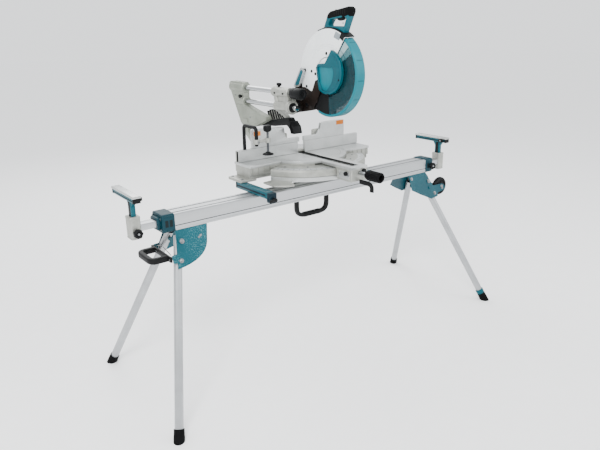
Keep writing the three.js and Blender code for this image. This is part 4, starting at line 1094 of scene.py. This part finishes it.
def makeCarriage():
    x, top, low = slide["x"], slide["top"], slide["low"]
    silver, black, brown = finishes["castSilver"], finishes["blackPlastic"], finishes["brownCasting"]
    parts = []
    for z, start, end in ((top, 112, 238), (low, 100, 222)):
        n = end - start
        tube = [(13, 0), (20.5, 0), (22.5, 2), (22.5, 18), (21.6, 20), (21.6, n - 16), (22.5, n - 14),
                (22.5, n - 2),
                (20.5, n), (13, n)]
        parts.append(turned("boss", silver, tube, (x, start, z), (0, 1, 0), 56))
        parts.append(turned("wiper", black, [(12.7, n - 0.5), (18.5, n - 0.5), (18, n + 1.6),
                                             (12.7, n + 1.6)],
                            (x, start, z), (0, 1, 0), 48))
    ring = [(13, 0), (25, 0), (27, 3), (29, 3), (31, 1), (31, 15.5), (13, 15.5)]
    parts.append(turned("ring", silver, ring, (x, 96, low), (0, 1, 0), 56))
    parts.append(turned("ringCore", black, [(12.8, -0.6), (22, -0.6), (22, 3), (12.8, 3)], (x, 96, low),
                        (0, 1, 0), 48))
    parts.append(slab("web", silver, rounded([(116, 1078), (216, 1078), (232, 1138), (116, 1138)], 6), "X",
                      x - 14,
                      x + 14, 4, [rounded([(140, 1098), (196, 1098), (206, 1122), (140, 1122)], 6)]))
    parts.append(slab("webBack", silver, rounded([(136, 1094), (200, 1094), (210, 1126), (136, 1126)], 4),
                      "X", x - 8,
                      x + 12, 1))
    cheek = rounded([(112, 1056), (112, 1112), (136, 1150), (196, 1150), (206, 1070), (170, 1046),
                     (122, 1046)],
                    [8, 10, 16, 18, 14, 12, 8], 5)
    parts.append(slab("cheek", silver, cheek, "X", x + 10, -9.4, 3))
    parts.append(turned("ear", brown, [(11, 0), (31, 0), (33, 2), (33, 17), (11, 17)], (-26, 150, low),
                        (1, 0, 0), 56))
    parts.append(turned("pin", finishes["bolt"], [(0, 0), (10, 0), (10.9, 1), (10.9, 103), (10, 104),
                                                  (0, 104)],
                        (-12, 150, low), (1, 0, 0), 40))
    for y, z in ((186, 1126), (128, 1118), (188, 1084)):
        parts.append(screws("screw", finishes["bolt"], [((x + 10, y, z + 0), (1, 0, 0))], 3.6, 3))
    for y in (142, 206):
        parts.append(turned("grub", black, [(0, 0), (4.6, 0), (4.6, 2), (3.4, 3), (0, 3)],
                            (x - 22, y, top - 4),
                            (-1, 0, 0), 24))
    parts.append(turned("lockKnob", black, [(0, -2), (6, -2), (6, 4), (11, 6), (12, 9), (12, 15), (10, 18),
                                            (0, 18.6)],
                        (x + 4, 206, top + 21), (0.1, 0, 1), 40, 0,
                        lambda a, q: 0.07 * math.cos(6 * a) if q > 10.5 else 0))
    settle(joined("carriage", *parts), "slide_carriage", "cast_silver", "carriage")

    duct = rounded([(419, 958), (419, 984), (285, 1000), (195, 1018), (175, 1020), (131, 972), (127, 952),
                    (147, 952),
                    (185, 984), (285, 968)], [3, 3, 40, 20, 14, 8, 3, 3, 26, 40], 6)
    chute = [slab("duct", black, duct, "X", -12, 26, 4, (), 3)]
    bore = rounded([(430, 964), (430, 978), (285, 991), (285, 976)], [0, 0, 10, 10], 3)
    opening = slab("bore", finishes["darkShadeAndMarks"], bore, "X", -8, 22, 1)
    cutOut(chute[0], opening)
    chute.append(slab("collar", black, rounded([(404, 956), (418, 954.5), (419, 985), (405, 988)], 2), "X",
                      -12, 26, 1.5,
                      [rounded([(400, 964), (424, 962), (424, 978), (400, 980)], 2)]))
    mouth = rounded([(121, 950), (131, 984), (158, 1008), (158, 976), (147, 950)], [2, 8, 3, 8, 2], 4)
    chute.append(slab("mouth", black, mouth, "X", -18, 31, 2, [rounded([(124, 953), (133, 982), (152, 998),
                                                                        (152, 978), (143, 953)], 3)]))
    hood = rounded([(365, 989), (335, 1036), (297, 1048), (235, 1048), (187, 1018), (285, 998)],
                   [3, 14, 14, 14, 6, 20], 5)
    chute.append(slab("hood", finishes["castSilver"], hood, "X", -6, 18, 3))
    for k in range(7):
        t = k / 6
        y0, z0 = 346 - 118 * t, 1022 + 22 * math.sin(math.pi * min(t * 0.9 + 0.15, 1))
        slat = rounded([(y0 + 7, z0 + 3), (y0 - 4, z0 + 5 - 2 * t), (y0 - 22, 999 + 12 * t),
                        (y0 - 12, 997 + 12 * t)], 2)
        chute.append(slab("slat", black, slat, "X", -8, 20, 1.2))
    settle(joined("dustChute", *chute), "slide_carriage", "black_plastic", "dust_chute")


makeSlide()
makeCarriage()
print("slide made")

# Saw head, set out around the arbor.
head = {"y": -57, "z": 1226, "radius": 187, "left": 33, "right": 87, "blade": 152.5, "pivotY": 150,
        "pivotZ": 1076}
arborLine = (0, head["y"], head["z"])


def aroundArbor(radius, angle):
    return (head["y"] + radius * math.cos(math.radians(angle)),
            head["z"] + radius * math.sin(math.radians(angle)))


def makeUpperGuard():
    h = head
    white, black = finishes["whitePaint"], finishes["blackPlastic"]
    left, right = h["left"], h["right"]
    shell = [(68, left), (183, left), (185.6, left + 0.9), (187, left + 3.4), (187, right - 3.4),
             (185.6, right - 0.9), (183, right), (68, right), (68, right - 3), (182.6, right - 3),
             (184.2, right - 4.2), (184.2, left + 4.2), (182.6, left + 3), (68, left + 3)]
    parts = [partRing("shell", white, shell, arborLine, "X", -21, 126, 72),
             partRing("shellFoot", finishes["brownCasting"], shell, arborLine, "X", -58, -21.2, 20)]
    for x0, x1 in ((left, left + 3), (right - 3, right)):
        parts.append(turned("hubPlate", white, [(12.6, 0), (72, 0), (72, 3), (12.6, 3)],
                            (x0, h["y"], h["z"]),
                            (1, 0, 0), 72))
        edge = [(25, 1196), (50, 1144), (87, 1161), (150, 1157)]
        upper = [aroundArbor(182, 10), aroundArbor(186.5, -20), *edge[2::-1], (10, 1226)]
        parts.append(slab("tongue", white, rounded(upper, [3, 3, 10, 10, 8, 6], 5), "X", x0 - 0.3, x1 + 0.3,
                          1.2))
    lower = rounded([(150, 1157), (87, 1161), (50, 1144), (25, 1196), (4, 1190), (13, 1098), (94, 1083),
                     (129, 1091),
                     (161, 1128)], [2, 4, 12, 6, 10, 10, 8, 8, 8], 5)
    tongues = [slab("tongueFoot", finishes["brownCasting"], lower, "X", x0, x1, 1)
               for x0, x1 in ((left + 0.1, left + 2.9), (right - 2.9, right - 0.1))]
    parts += tongues
    for radius, start, end, size in ((126, 32, 122, 3.4), (116, 36, 116, 1.8)):
        rib = [(radius - size, left + 0.6), (radius - size * 0.6, left - 1.1),
               (radius + size * 0.6, left - 1.1),
               (radius + size, left + 0.6)]
        parts.append(partRing("ringRib", white, rib, arborLine, "X", start, end, 48))
    panel = rounded([aroundArbor(172, 62), aroundArbor(172, 36), aroundArbor(136, 38),
                     aroundArbor(136, 60)], 8, 5)
    parts.append(slab("raisedPanel", white, panel, "X", left - 0.9, left + 0.4, 0.5))
    seam = [(187.1, left + 12), (187.45, left + 12.4), (187.45, right - 12.4), (187.1, right - 12)]
    parts.append(partRing("seam", finishes["darkShadeAndMarks"], seam, arborLine, "X", 58, 118, 60))
    label = rounded([(-112, 1402), (-143, 1388), (-134, 1364), (-97, 1377)], 4)
    parts.append(slab("label", finishes["greyLabel"], label, "X", left - 0.3, left + 0.2, 0.15))
    spots = [(-53, 1312), (48, 1234), (84, 1167), (22, 1224)]
    for y, z in spots:
        parts.append(turned("screwSeat", white, [(0, -0.5), (9, -0.5), (9, 0.9), (8.4, 1.4), (6.8, 1.4),
                                                 (6.6, 0.5), (0, 0.5)],
                            (left, y, z), (-1, 0, 0), 32))
    parts.append(screws("blackScrews", black, [((left - 0.6, y, z), (-1, 0, 0)) for y, z in spots], 6.4,
                        2.6))
    parts.append(turned("farBoss", white, [(20.2, 0), (35, 0), (35, 5), (20.2, 5)],
                        (right - 8, h["y"], h["z"]),
                        (1, 0, 0), 56))
    # Dark vent lines on the far face: painted shade in place of open vents.
    for k in range(9):
        a = 66 + 6 * k
        y, z = aroundArbor(160, a)
        lineEnd = aroundArbor(172, a)
        parts.append(swept("vent", finishes["darkShadeAndMarks"], [(right + 0.1, y, z), (right + 0.1, *lineEnd)],
                           1.3))
    settle(joined("upperGuard", *parts), "head", "white_guard", "upper_guard")


def makeCentreCover():
    h = head
    face = h["left"] - 0.4
    cy, cz = h["y"] - 12, h["z"] + 10
    loop = arc(cy, cz, 94, 106, 306, 60) + [(h["y"] + 62, h["z"] + 26), (h["y"] + 50, h["z"] + 42),
                                            (h["y"] + 2, h["z"] + 46)]
    window = [(-10, 1258), (-106, 1258), (-114, 1233), (-102, 1194), (-72, 1162), (-42, 1152), (-20, 1189)]
    dish = rounded(window, [6, 10, 26, 40, 30, 12, 24], 5)
    parts = [slab("cover", finishes["tealPlastic"], loop, "X", face - 13.6, face, 3.2, [dish], 4)]
    parts.append(slab("panel", finishes["tealPanel"], loop, "X", face - 8.2, face - 0.6, 0.8))
    shape = [(y + (1.6 if y > -60 else -1.6), z + (1.6 if z > 1210 else -1.6)) for y, z in window]
    parts.append(slab("dishRim", finishes["tealHandle"], rounded(shape, [6, 10, 26, 40, 30, 12, 24], 5),
                      "X",
                      face - 13.9, face - 12.6, 0.4, [dish]))
    parts.append(block("bar", finishes["tealHandle"], (face - 14.6, face - 12), (-104, -16), (1257, 1261),
                       0.8))
    # The step ring takes the darker teal copy: painted shade along the cover's edge.
    step = arc(cy, cz, 82, 112, 300, 50)
    stepIn = arc(cy, cz, 78.5, 300, 112, 50)
    parts.append(slab("step", finishes["tealPaintShaded"], step + stepIn, "X", face - 14.2, face - 12.6, 0.4))
    for y, z in (aroundArbor(66, 20), aroundArbor(86, 196), aroundArbor(88, 262)):
        parts.append(screws("coverScrew", finishes["blackPlastic"],
                            [((face - 13.2, y - 8, z + 4), (-1, 0, 0))], 3.8, 2))
    settle(joined("centreCover", *parts), "head", "teal_plastic", "centre_cover")


# Angles about the arbor where the lower guard starts, clears, darkens and ends.
lowerGuard = {"start": 127, "haze": 139, "pale": 149, "clear": 268, "end": 292, "wing": 300.5}


def makeLowerGuard():
    h, g = head, lowerGuard
    r = h["radius"] - 4.5
    lip = [(r - 5, 36.8), (r - 1.4, 36.8), (r, 38.6), (r, 81.4), (r - 1.4, 83.2), (r - 5, 83.2),
           (r - 5, 81.6),
           (r - 3, 80.4), (r - 3, 39.6), (r - 5, 38.4)]
    parts = [partRing("rim", finishes["tealPanel"], lip, arborLine, "X", g["start"], g["end"], 96)]
    for x0, x1 in ((36.9, 38.7), (81.3, 83.1)):
        parts.append(partRing("rimLip", finishes["tealPanel"],
                              [(r - 11, x0), (r - 4.8, x0), (r - 4.8, x1), (r - 11, x1)],
                              arborLine, "X", g["start"], g["end"], 96))
    for angle in range(134, 290, 26):
        a = [(r + 0.1, 44), (r + 0.55, 44.4), (r + 0.55, 75.6), (r + 0.1, 76)]
        parts.append(partRing("rimRib", finishes["tealPlastic"], a, arborLine, "X", angle, angle + 0.8, 2))
    settle(joined("guardRim", *parts), "lower_guard", "teal_plastic", "guard_rim")
    for side, x0 in (("left", 37.6), ("right", 80)):
        outward = -1 if side == "left" else 1
        pane = [(36.2, x0), (r - 5.4, x0), (r - 5.4, x0 + 2.3), (36.2, x0 + 2.3)]
        window = [partRing("pane", finishes[look], pane, arborLine, "X", start, end, steps)
                  for look, start, end, steps in (("haze", g["start"], g["haze"], 8),
                                                  ("paleSmoke", g["haze"], g["pale"], 6),
                                                  ("smoke", g["pale"], g["clear"], 70))]
        wing = [(61.5, x0), (r - 5.4, x0), (r - 5.4, x0 + 2.3), (61.5, x0 + 2.3)]
        window.append(partRing("wing", finishes["blackPlastic"], wing, arborLine, "X", g["clear"] + 0.2,
                               g["wing"], 20))
        hub = [(36.2, x0 - 0.3), (61, x0 - 0.3), (61, x0 + 2.6), (36.2, x0 + 2.6)]
        window.append(partRing("hub", finishes["blackPlastic"], hub, arborLine, "X", 0, 359.99, 72))
        face = x0 - 0.1 if outward < 0 else x0 + 2.4
        for angle in range(139, 267, 13):
            ends = [(face, *aroundArbor(64, angle)), (face, *aroundArbor(r - 12, angle))]
            window.append(swept("ray", finishes["smoke"], ends, 1))
        for radius in (92, 128):
            ring = [(radius - 0.9, face - 0.8), (radius + 0.9, face - 0.8), (radius + 0.9, face + 0.8),
                    (radius - 0.9, face + 0.8)]
            window.append(partRing("ring", finishes["smoke"], ring, arborLine, "X", 129, 267, 54))
        ends = [(face, *aroundArbor(62, g["start"] + 0.6)), (face, *aroundArbor(r - 7, g["start"] + 0.6))]
        window.append(swept("edge", finishes["tealPlastic"], ends, 1.2))
        settle(joined(side + "GuardWindow", *window), "lower_guard", "clear_guard", side + "_guard_window")


bladeTeeth = {"count": 48, "tipFront": 152.4, "root": 147.4, "plane": 60}


def makeBlade():
    h, cut = head, bladeTeeth
    teeth = cut["count"]
    loop, tips = [], []
    for k in range(teeth):
        a = 360 * k / teeth
        step = 360 / teeth
        for radius, turn in ((151.8, 0), (150.6, 0.1), (149, 0.22), (145.4, 0.3), (144.2, 0.42),
                             (144.8, 0.56),
                             (147.8, 0.72), (149.6, 0.86)):
            loop.append(aroundArbor(radius, a + step * turn))
        tips.append(slab("tip", finishes["carbide"],
                         [aroundArbor(cut["tipFront"], a), aroundArbor(151.6, a + 0.7),
                                                      aroundArbor(cut["root"], a + 0.5),
                                                      aroundArbor(cut["root"], a - 0.35)],
                         "X", 58.6, 61.4, 0.15))
    disc = slab("disc", finishes["darkBlade"], loop, "X", 59, 61, 0.2,
                [[aroundArbor(9, -a) for a in range(0, 360, 15)]])
    parts = [disc, *tips]
    # Dark lines for the expansion slots: painted shade in place of cut-through slots.
    for k in range(4):
        for f in (-1, 1):
            curve = [(cut["plane"] + f * 1.02, *aroundArbor(94 + 6 * t,
                    90 * k + 20 + 9 * t)) for t in range(5)]
            parts.append(swept("expansionCut", finishes["darkShadeAndMarks"], curve, 0.45))
    for r0 in (112, 70):
        for f in (-1, 1):
            ring = [(r0, cut["plane"] + f * 1.02 - 0.05), (r0 + 0.8, cut["plane"] + f * 1.02 - 0.05),
                    (r0 + 0.8, cut["plane"] + f * 1.02 + 0.05),
                    (r0, cut["plane"] + f * 1.02 + 0.05)]
            parts.append(partRing("line", finishes["carbide"], ring, arborLine, "X", 0, 359.99, 90))
    for x0, x1, radius in ((46.4, 59, 25), (61, 73.6, 25)):
        parts.append(turned("flange", finishes["bolt"],
                            [(0, 0), (radius - 2, 0), (radius, 2), (radius, x1 - x0 - 1),
                                                         (radius - 1, x1 - x0), (0, x1 - x0)],
                            (x0, h["y"], h["z"]), (1, 0, 0), 56))
    parts.append(turned("nut", finishes["bolt"], [(0, 0), (10, 0), (10, 4.6), (8, 6), (0, 6)],
                        (46.6, h["y"], h["z"]),
                        (-1, 0, 0), 6))
    parts.append(turned("shaft", finishes["bolt"], [(0, 0), (11.8, 0), (11.8, 27), (0, 27)],
                        (73.5, h["y"], h["z"]),
                        (1, 0, 0), 40))
    settle(joined("blade", *parts), "saw_blade", "blade_steel", "blade")


def makeHinge():
    h = head
    y, z = h["pivotY"], h["pivotZ"]
    brown, bolt, black = finishes["brownCasting"], finishes["bolt"], finishes["blackPlastic"]
    left, right = h["left"] + 3.4, h["right"] - 3.4
    loop = rounded([(y - 80, z - 16), (y - 10, z - 31), (y + 14, z + 30), (y - 9, z + 96)], [4, 14, 10, 3],
                   5)
    loop += [aroundArbor(188.6, a) for a in (-10, -18, -26, -34, -42, -48)]
    parts = [slab("body", brown, loop, "X", left, right, 2.5)]
    parts.append(turned("barrel", brown, [(11.6, 0), (30, 0), (32, 2), (32, right + 7), (30, right + 8),
                                          (11.6, right + 8)],
                        (-8, y, z), (1, 0, 0), 64))
    for k in range(6):
        a = math.radians(60 * k + 20)
        parts.append(screws("barrelScrew", bolt,
                            [((-7.6, y + 22 * math.cos(a), z + 22 * math.sin(a)), (-1, 0, 0))],
                            2.6, 1.6))
    parts.append(turned("pinCap", black, [(0, 0), (10.4, 0), (10.4, 2), (8, 3), (0, 3)],
                        (left - 0.4, y - 62, z + 8),
                        (-1, 0, 0), 32))
    parts.append(turned("springCoil", finishes["blackPlastic"], [(32.2, 4), (34, 6), (34, 14), (32.2, 16)],
                        (4, y, z), (1, 0, 0), 64))
    settle(joined("hingeBlock", *parts), "head", "black_plastic", "hinge_block")
    strip = rounded([(108, 1250), (82, 1236), (118, 1164), (168, 1158)], [6, 6, 8, 8], 5)
    bar = slab("bar", finishes["polished"], strip, "X", 15, 23, 1.6)
    inner = rounded([(104, 1240), (90, 1233), (122, 1172), (154, 1166)], [4, 4, 6, 6], 5)
    cover = slab("cover", finishes["tealHandle"], inner, "X", 13.6, 16, 1)
    foot = turned("foot", brown, [(0, 0), (15, 0), (16, 1.4), (16, 12), (14, 13), (0, 13)], (34, 144, 1160),
                  (-1, 0, 0), 40)
    top = turned("top", black, [(0, 0), (8, 0), (8, 14), (6, 16), (0, 16)], (34, 97, 1236), (-1, 0, 0), 32)
    settle(joined("linkBar", bar, cover, foot, top), "head", "polished_steel")


motor = {"y": -10, "z": 1268, "vents": 18, "can": 50, "screwCircle": 52}


def makeMotor():
    h = head
    face = h["right"] + 0.4
    my, mz, canRadius = motor["y"], motor["z"], motor["can"]
    teal, black = finishes["tealPlastic"], finishes["blackPlastic"]
    parts = [turned("gear", finishes["castSilver"],
                    [(14, 0), (42, 0), (44, 2), (44, 30), (38, 36), (0, 36), (0, 20),
                                                     (14, 20)], (face, h["y"], h["z"]), (1, 0, 0), 64)]
    parts.append(turned("gearTop", finishes["castSilver"],
                        [(0, 0), (52, 0), (54, 2), (54, 33), (51, 36), (0, 36)],
                        (face, my, mz), (1, 0, 0), 72))
    can = [(0, 30), (49, 30), (50, 33), (50, 52), (48.4, 53), (48.4, 57), (50, 58), (50, 86), (48.5, 90),
           (47, 92),
           (44, 104), (38, 111), (30, 111.6), (0, 111.6)]
    parts.append(turned("can", teal, can, (face, my, mz), (1, 0, 0), 72))
    for k in range(motor["vents"]):
        a = math.radians(20 * k)
        y, z = my + 46.4 * math.cos(a), mz + 46.4 * math.sin(a)
        # Dark vent strokes on the end of the can: painted shade in place of open vents.
        parts.append(swept("vent", finishes["darkShadeAndMarks"],
                           [(face + 92, y, z), (face + 104, my + 43.4 * math.cos(a),
                                                                                 mz + 43.4 * math.sin(a))],
                           1.8))
        y, z = my + canRadius * math.cos(a), mz + canRadius * math.sin(a)
        parts.append(swept("fin", teal, [(face + 61, y - 0.4 * math.cos(a), z - 0.4 * math.sin(a)),
                                         (face + 84, y - 0.4 * math.cos(a), z - 0.4 * math.sin(a))], 1))
    for s in (-1, 1):
        parts.append(turned("brushCap", black, [(0, 0), (8, 0), (8, 3), (5, 4), (5, 2.6), (0, 2.6)],
                            (face + 72, my, mz + s * 47.6), (0, 0, s), 32))
    for a in (30, 150, 270):
        t = math.radians(a)
        parts.append(screws("gearScrew", finishes["bolt"],
                            [((face + 34.5, my + 52 * math.cos(t) * 0.94, mz + 52 * math.sin(t) * 0.94),
                                                             (1, 0, 0))], 3.4, 3))
    settle(joined("motorHousing", *parts), "head", "teal_plastic", "motor_housing")


def makeHandle():
    h = head
    teal, black = finishes["tealHandle"], finishes["blackPlastic"]
    saddle = arc(h["y"], h["z"], 188.7, 77.8, 118.2, 24)
    posts = [(-186.5, 1474.5), (-187.4, 1487), (-174, 1495), (-60, 1479), (-46, 1469)]
    outer = rounded(saddle + posts, [0] * len(saddle) + [12, 8, 10, 14, 16], 5)
    hole = rounded([(-46, 1423), (-66, 1447), (-84, 1449), (-150, 1456), (-162, 1448), (-148, 1420)],
                   [8, 10, 8, 6, 6, 8], 5)
    frameBar = slab("frame", teal, outer, "X", 42.6, 77.4, 6, [hole], 4)
    gripLoop = rounded([(-50, 1446), (-38, 1458), (-46, 1470), (-60, 1480), (-174, 1496), (-188, 1488),
                        (-188, 1473),
                        (-180, 1458), (-140, 1449), (-136, 1456), (-66, 1448)],
                       [6, 6, 12, 14, 10, 8, 10, 8, 4, 4, 6], 5)
    rubber = slab("rubber", finishes["rubber"], gripLoop, "X", 42.1, 77.9, 8, (), 4)
    parts = [frameBar, rubber]
    for x0, x1 in ((41.6, 42.4), (77.6, 78.4)):
        for k in range(6):
            y = -92 - 13 * k
            z = 1469 - (y + 92) * 0.14
            parts.append(block("gripRib", finishes["blackPlastic"], (x0, x1), (y - 1.6, y + 1.6),
                               (z - 9, z + 9), 0.3))
    saddle = [(187.3, 34), (190, 34), (191.4, 36), (191.4, 84), (190, 86), (187.3, 86)]
    parts.append(partRing("saddleBand", black, saddle, arborLine, "X", 70, 126, 50))
    skin = [(168, 31.6), (187.3, 31.6), (190, 34), (187.3, 34.2), (186, 32.8), (168, 32.8)]
    parts.append(partRing("saddleSide", black, skin, arborLine, "X", 118, 126, 10))
    for x in (42.9, 77.1):
        for y, z in ((-30, 1420), (-146, 1432), (-42, 1446)):
            parts.append(screws("handleScrew", finishes["bolt"], [((x, y, z), (-1 if x < 60 else 1, 0, 0))],
                                3, 1.2))
    settle(joined("handleFrame", *parts), "head", "teal_plate", "handle_frame")
    shape = rounded([(-137.6, 1461), (-96.4, 1459), (-98, 1445), (-112, 1441.4), (-130, 1443.5),
                     (-137, 1448)],
                    [1, 1, 5, 8, 8, 4], 5)
    settle(slab("trigger", black, shape, "X", 52.4, 67.6, 3, (), 3), "trigger_lever", "black_plastic",
           "trigger")
    button = turned("lockOffButton", black, [(0, 0), (5, 0), (5, 11), (4.2, 12.6), (2.5, 13), (0, 13)],
                    (60, -84, 1474), (0, 0, 1), 36)
    settle(button, "lock_off", "black_plastic", "lock_off_button")


# Vise.
vise = {"x": -254, "screwX": -196, "y": 75, "postY": 174, "top": 1012, "arm": 942}


def makeVise():
    v = vise
    black, silver, bolt = finishes["blackPlastic"], finishes["castSilver"], finishes["bolt"]
    path = [(v["x"], v["postY"], 864), (v["x"], v["postY"], v["top"]), (v["x"], v["y"], v["top"]),
            (v["x"], v["y"], 934)]
    rod = swept("rod", black, path, 7.9, 16)
    tips = [turned("tip", black, [(0, 0), (6.4, 0), (7.9, 2), (7.9, 4), (0, 4)], (v["x"], y, z), (0, 0, 1),
                   24)
            for y, z in ((v["y"], 932.4), (v["postY"], 862))]
    settle(joined("viseRod", rod, *tips), "vise", "black_plastic", "vise_rod")
    arm = [turned("clampRing", silver, [(8.4, 0), (14, 0), (15, 1.4), (15, 18.6), (14, 20), (8.4, 20)],
                  (v["x"], v["y"], v["arm"]), (0, 0, 1), 48),
           turned("screwRing", silver, [(6.5, 0), (12, 0), (13, 1.4), (13, 18.6), (12, 20), (6.5, 20)],
                  (v["screwX"], v["y"], v["arm"]), (0, 0, 1), 48),
           slab("bar", silver, [(-241, 946), (-207, 946), (-207, 958), (-241, 958)], "Y", 67.5, 82.5, 3),
           screws("clampBolt", bolt, [((v["x"], 60.2, 952), (0, -1, 0))], 5, 4)]
    settle(joined("viseArm", *arm), "vise", "arm_aluminium", "vise_arm")
    thread = [(0, 900)]
    z = 902
    while z < 991:
        thread += [(5.2, z), (5.95, z + 0.75)]
        z += 1.5
    thread += [(5.2, 992), (0, 992)]
    parts = [turned("thread", bolt, thread, (v["screwX"], v["y"], 0), (0, 0, 1), 28),
             turned("pad", black, [(0, 888), (23.6, 888), (25, 889.4), (25, 891.6), (22, 894), (12, 897),
                                   (9, 901),
                                   (5.2, 902), (0, 902)], (v["screwX"], v["y"], 0), (0, 0, 1), 56)]
    knob = [(0, 990), (12, 990), (17, 995), (18, 998), (18, v["top"]), (16.5, 1016), (13, 1018), (0, 1018)]
    parts.append(turned("knob", black, knob, (v["screwX"], v["y"], 0), (0, 0, 1), 72, 0,
                        lambda a, q: 0.03 * math.cos(16 * a) if q > 17.4 else 0))
    settle(joined("viseScrew", *parts), "vise_screw", "black_plastic", "vise_spindle")


makeUpperGuard()
makeCentreCover()
makeLowerGuard()
makeBlade()
makeHinge()
makeMotor()
makeHandle()
makeVise()
print("head and vise made")
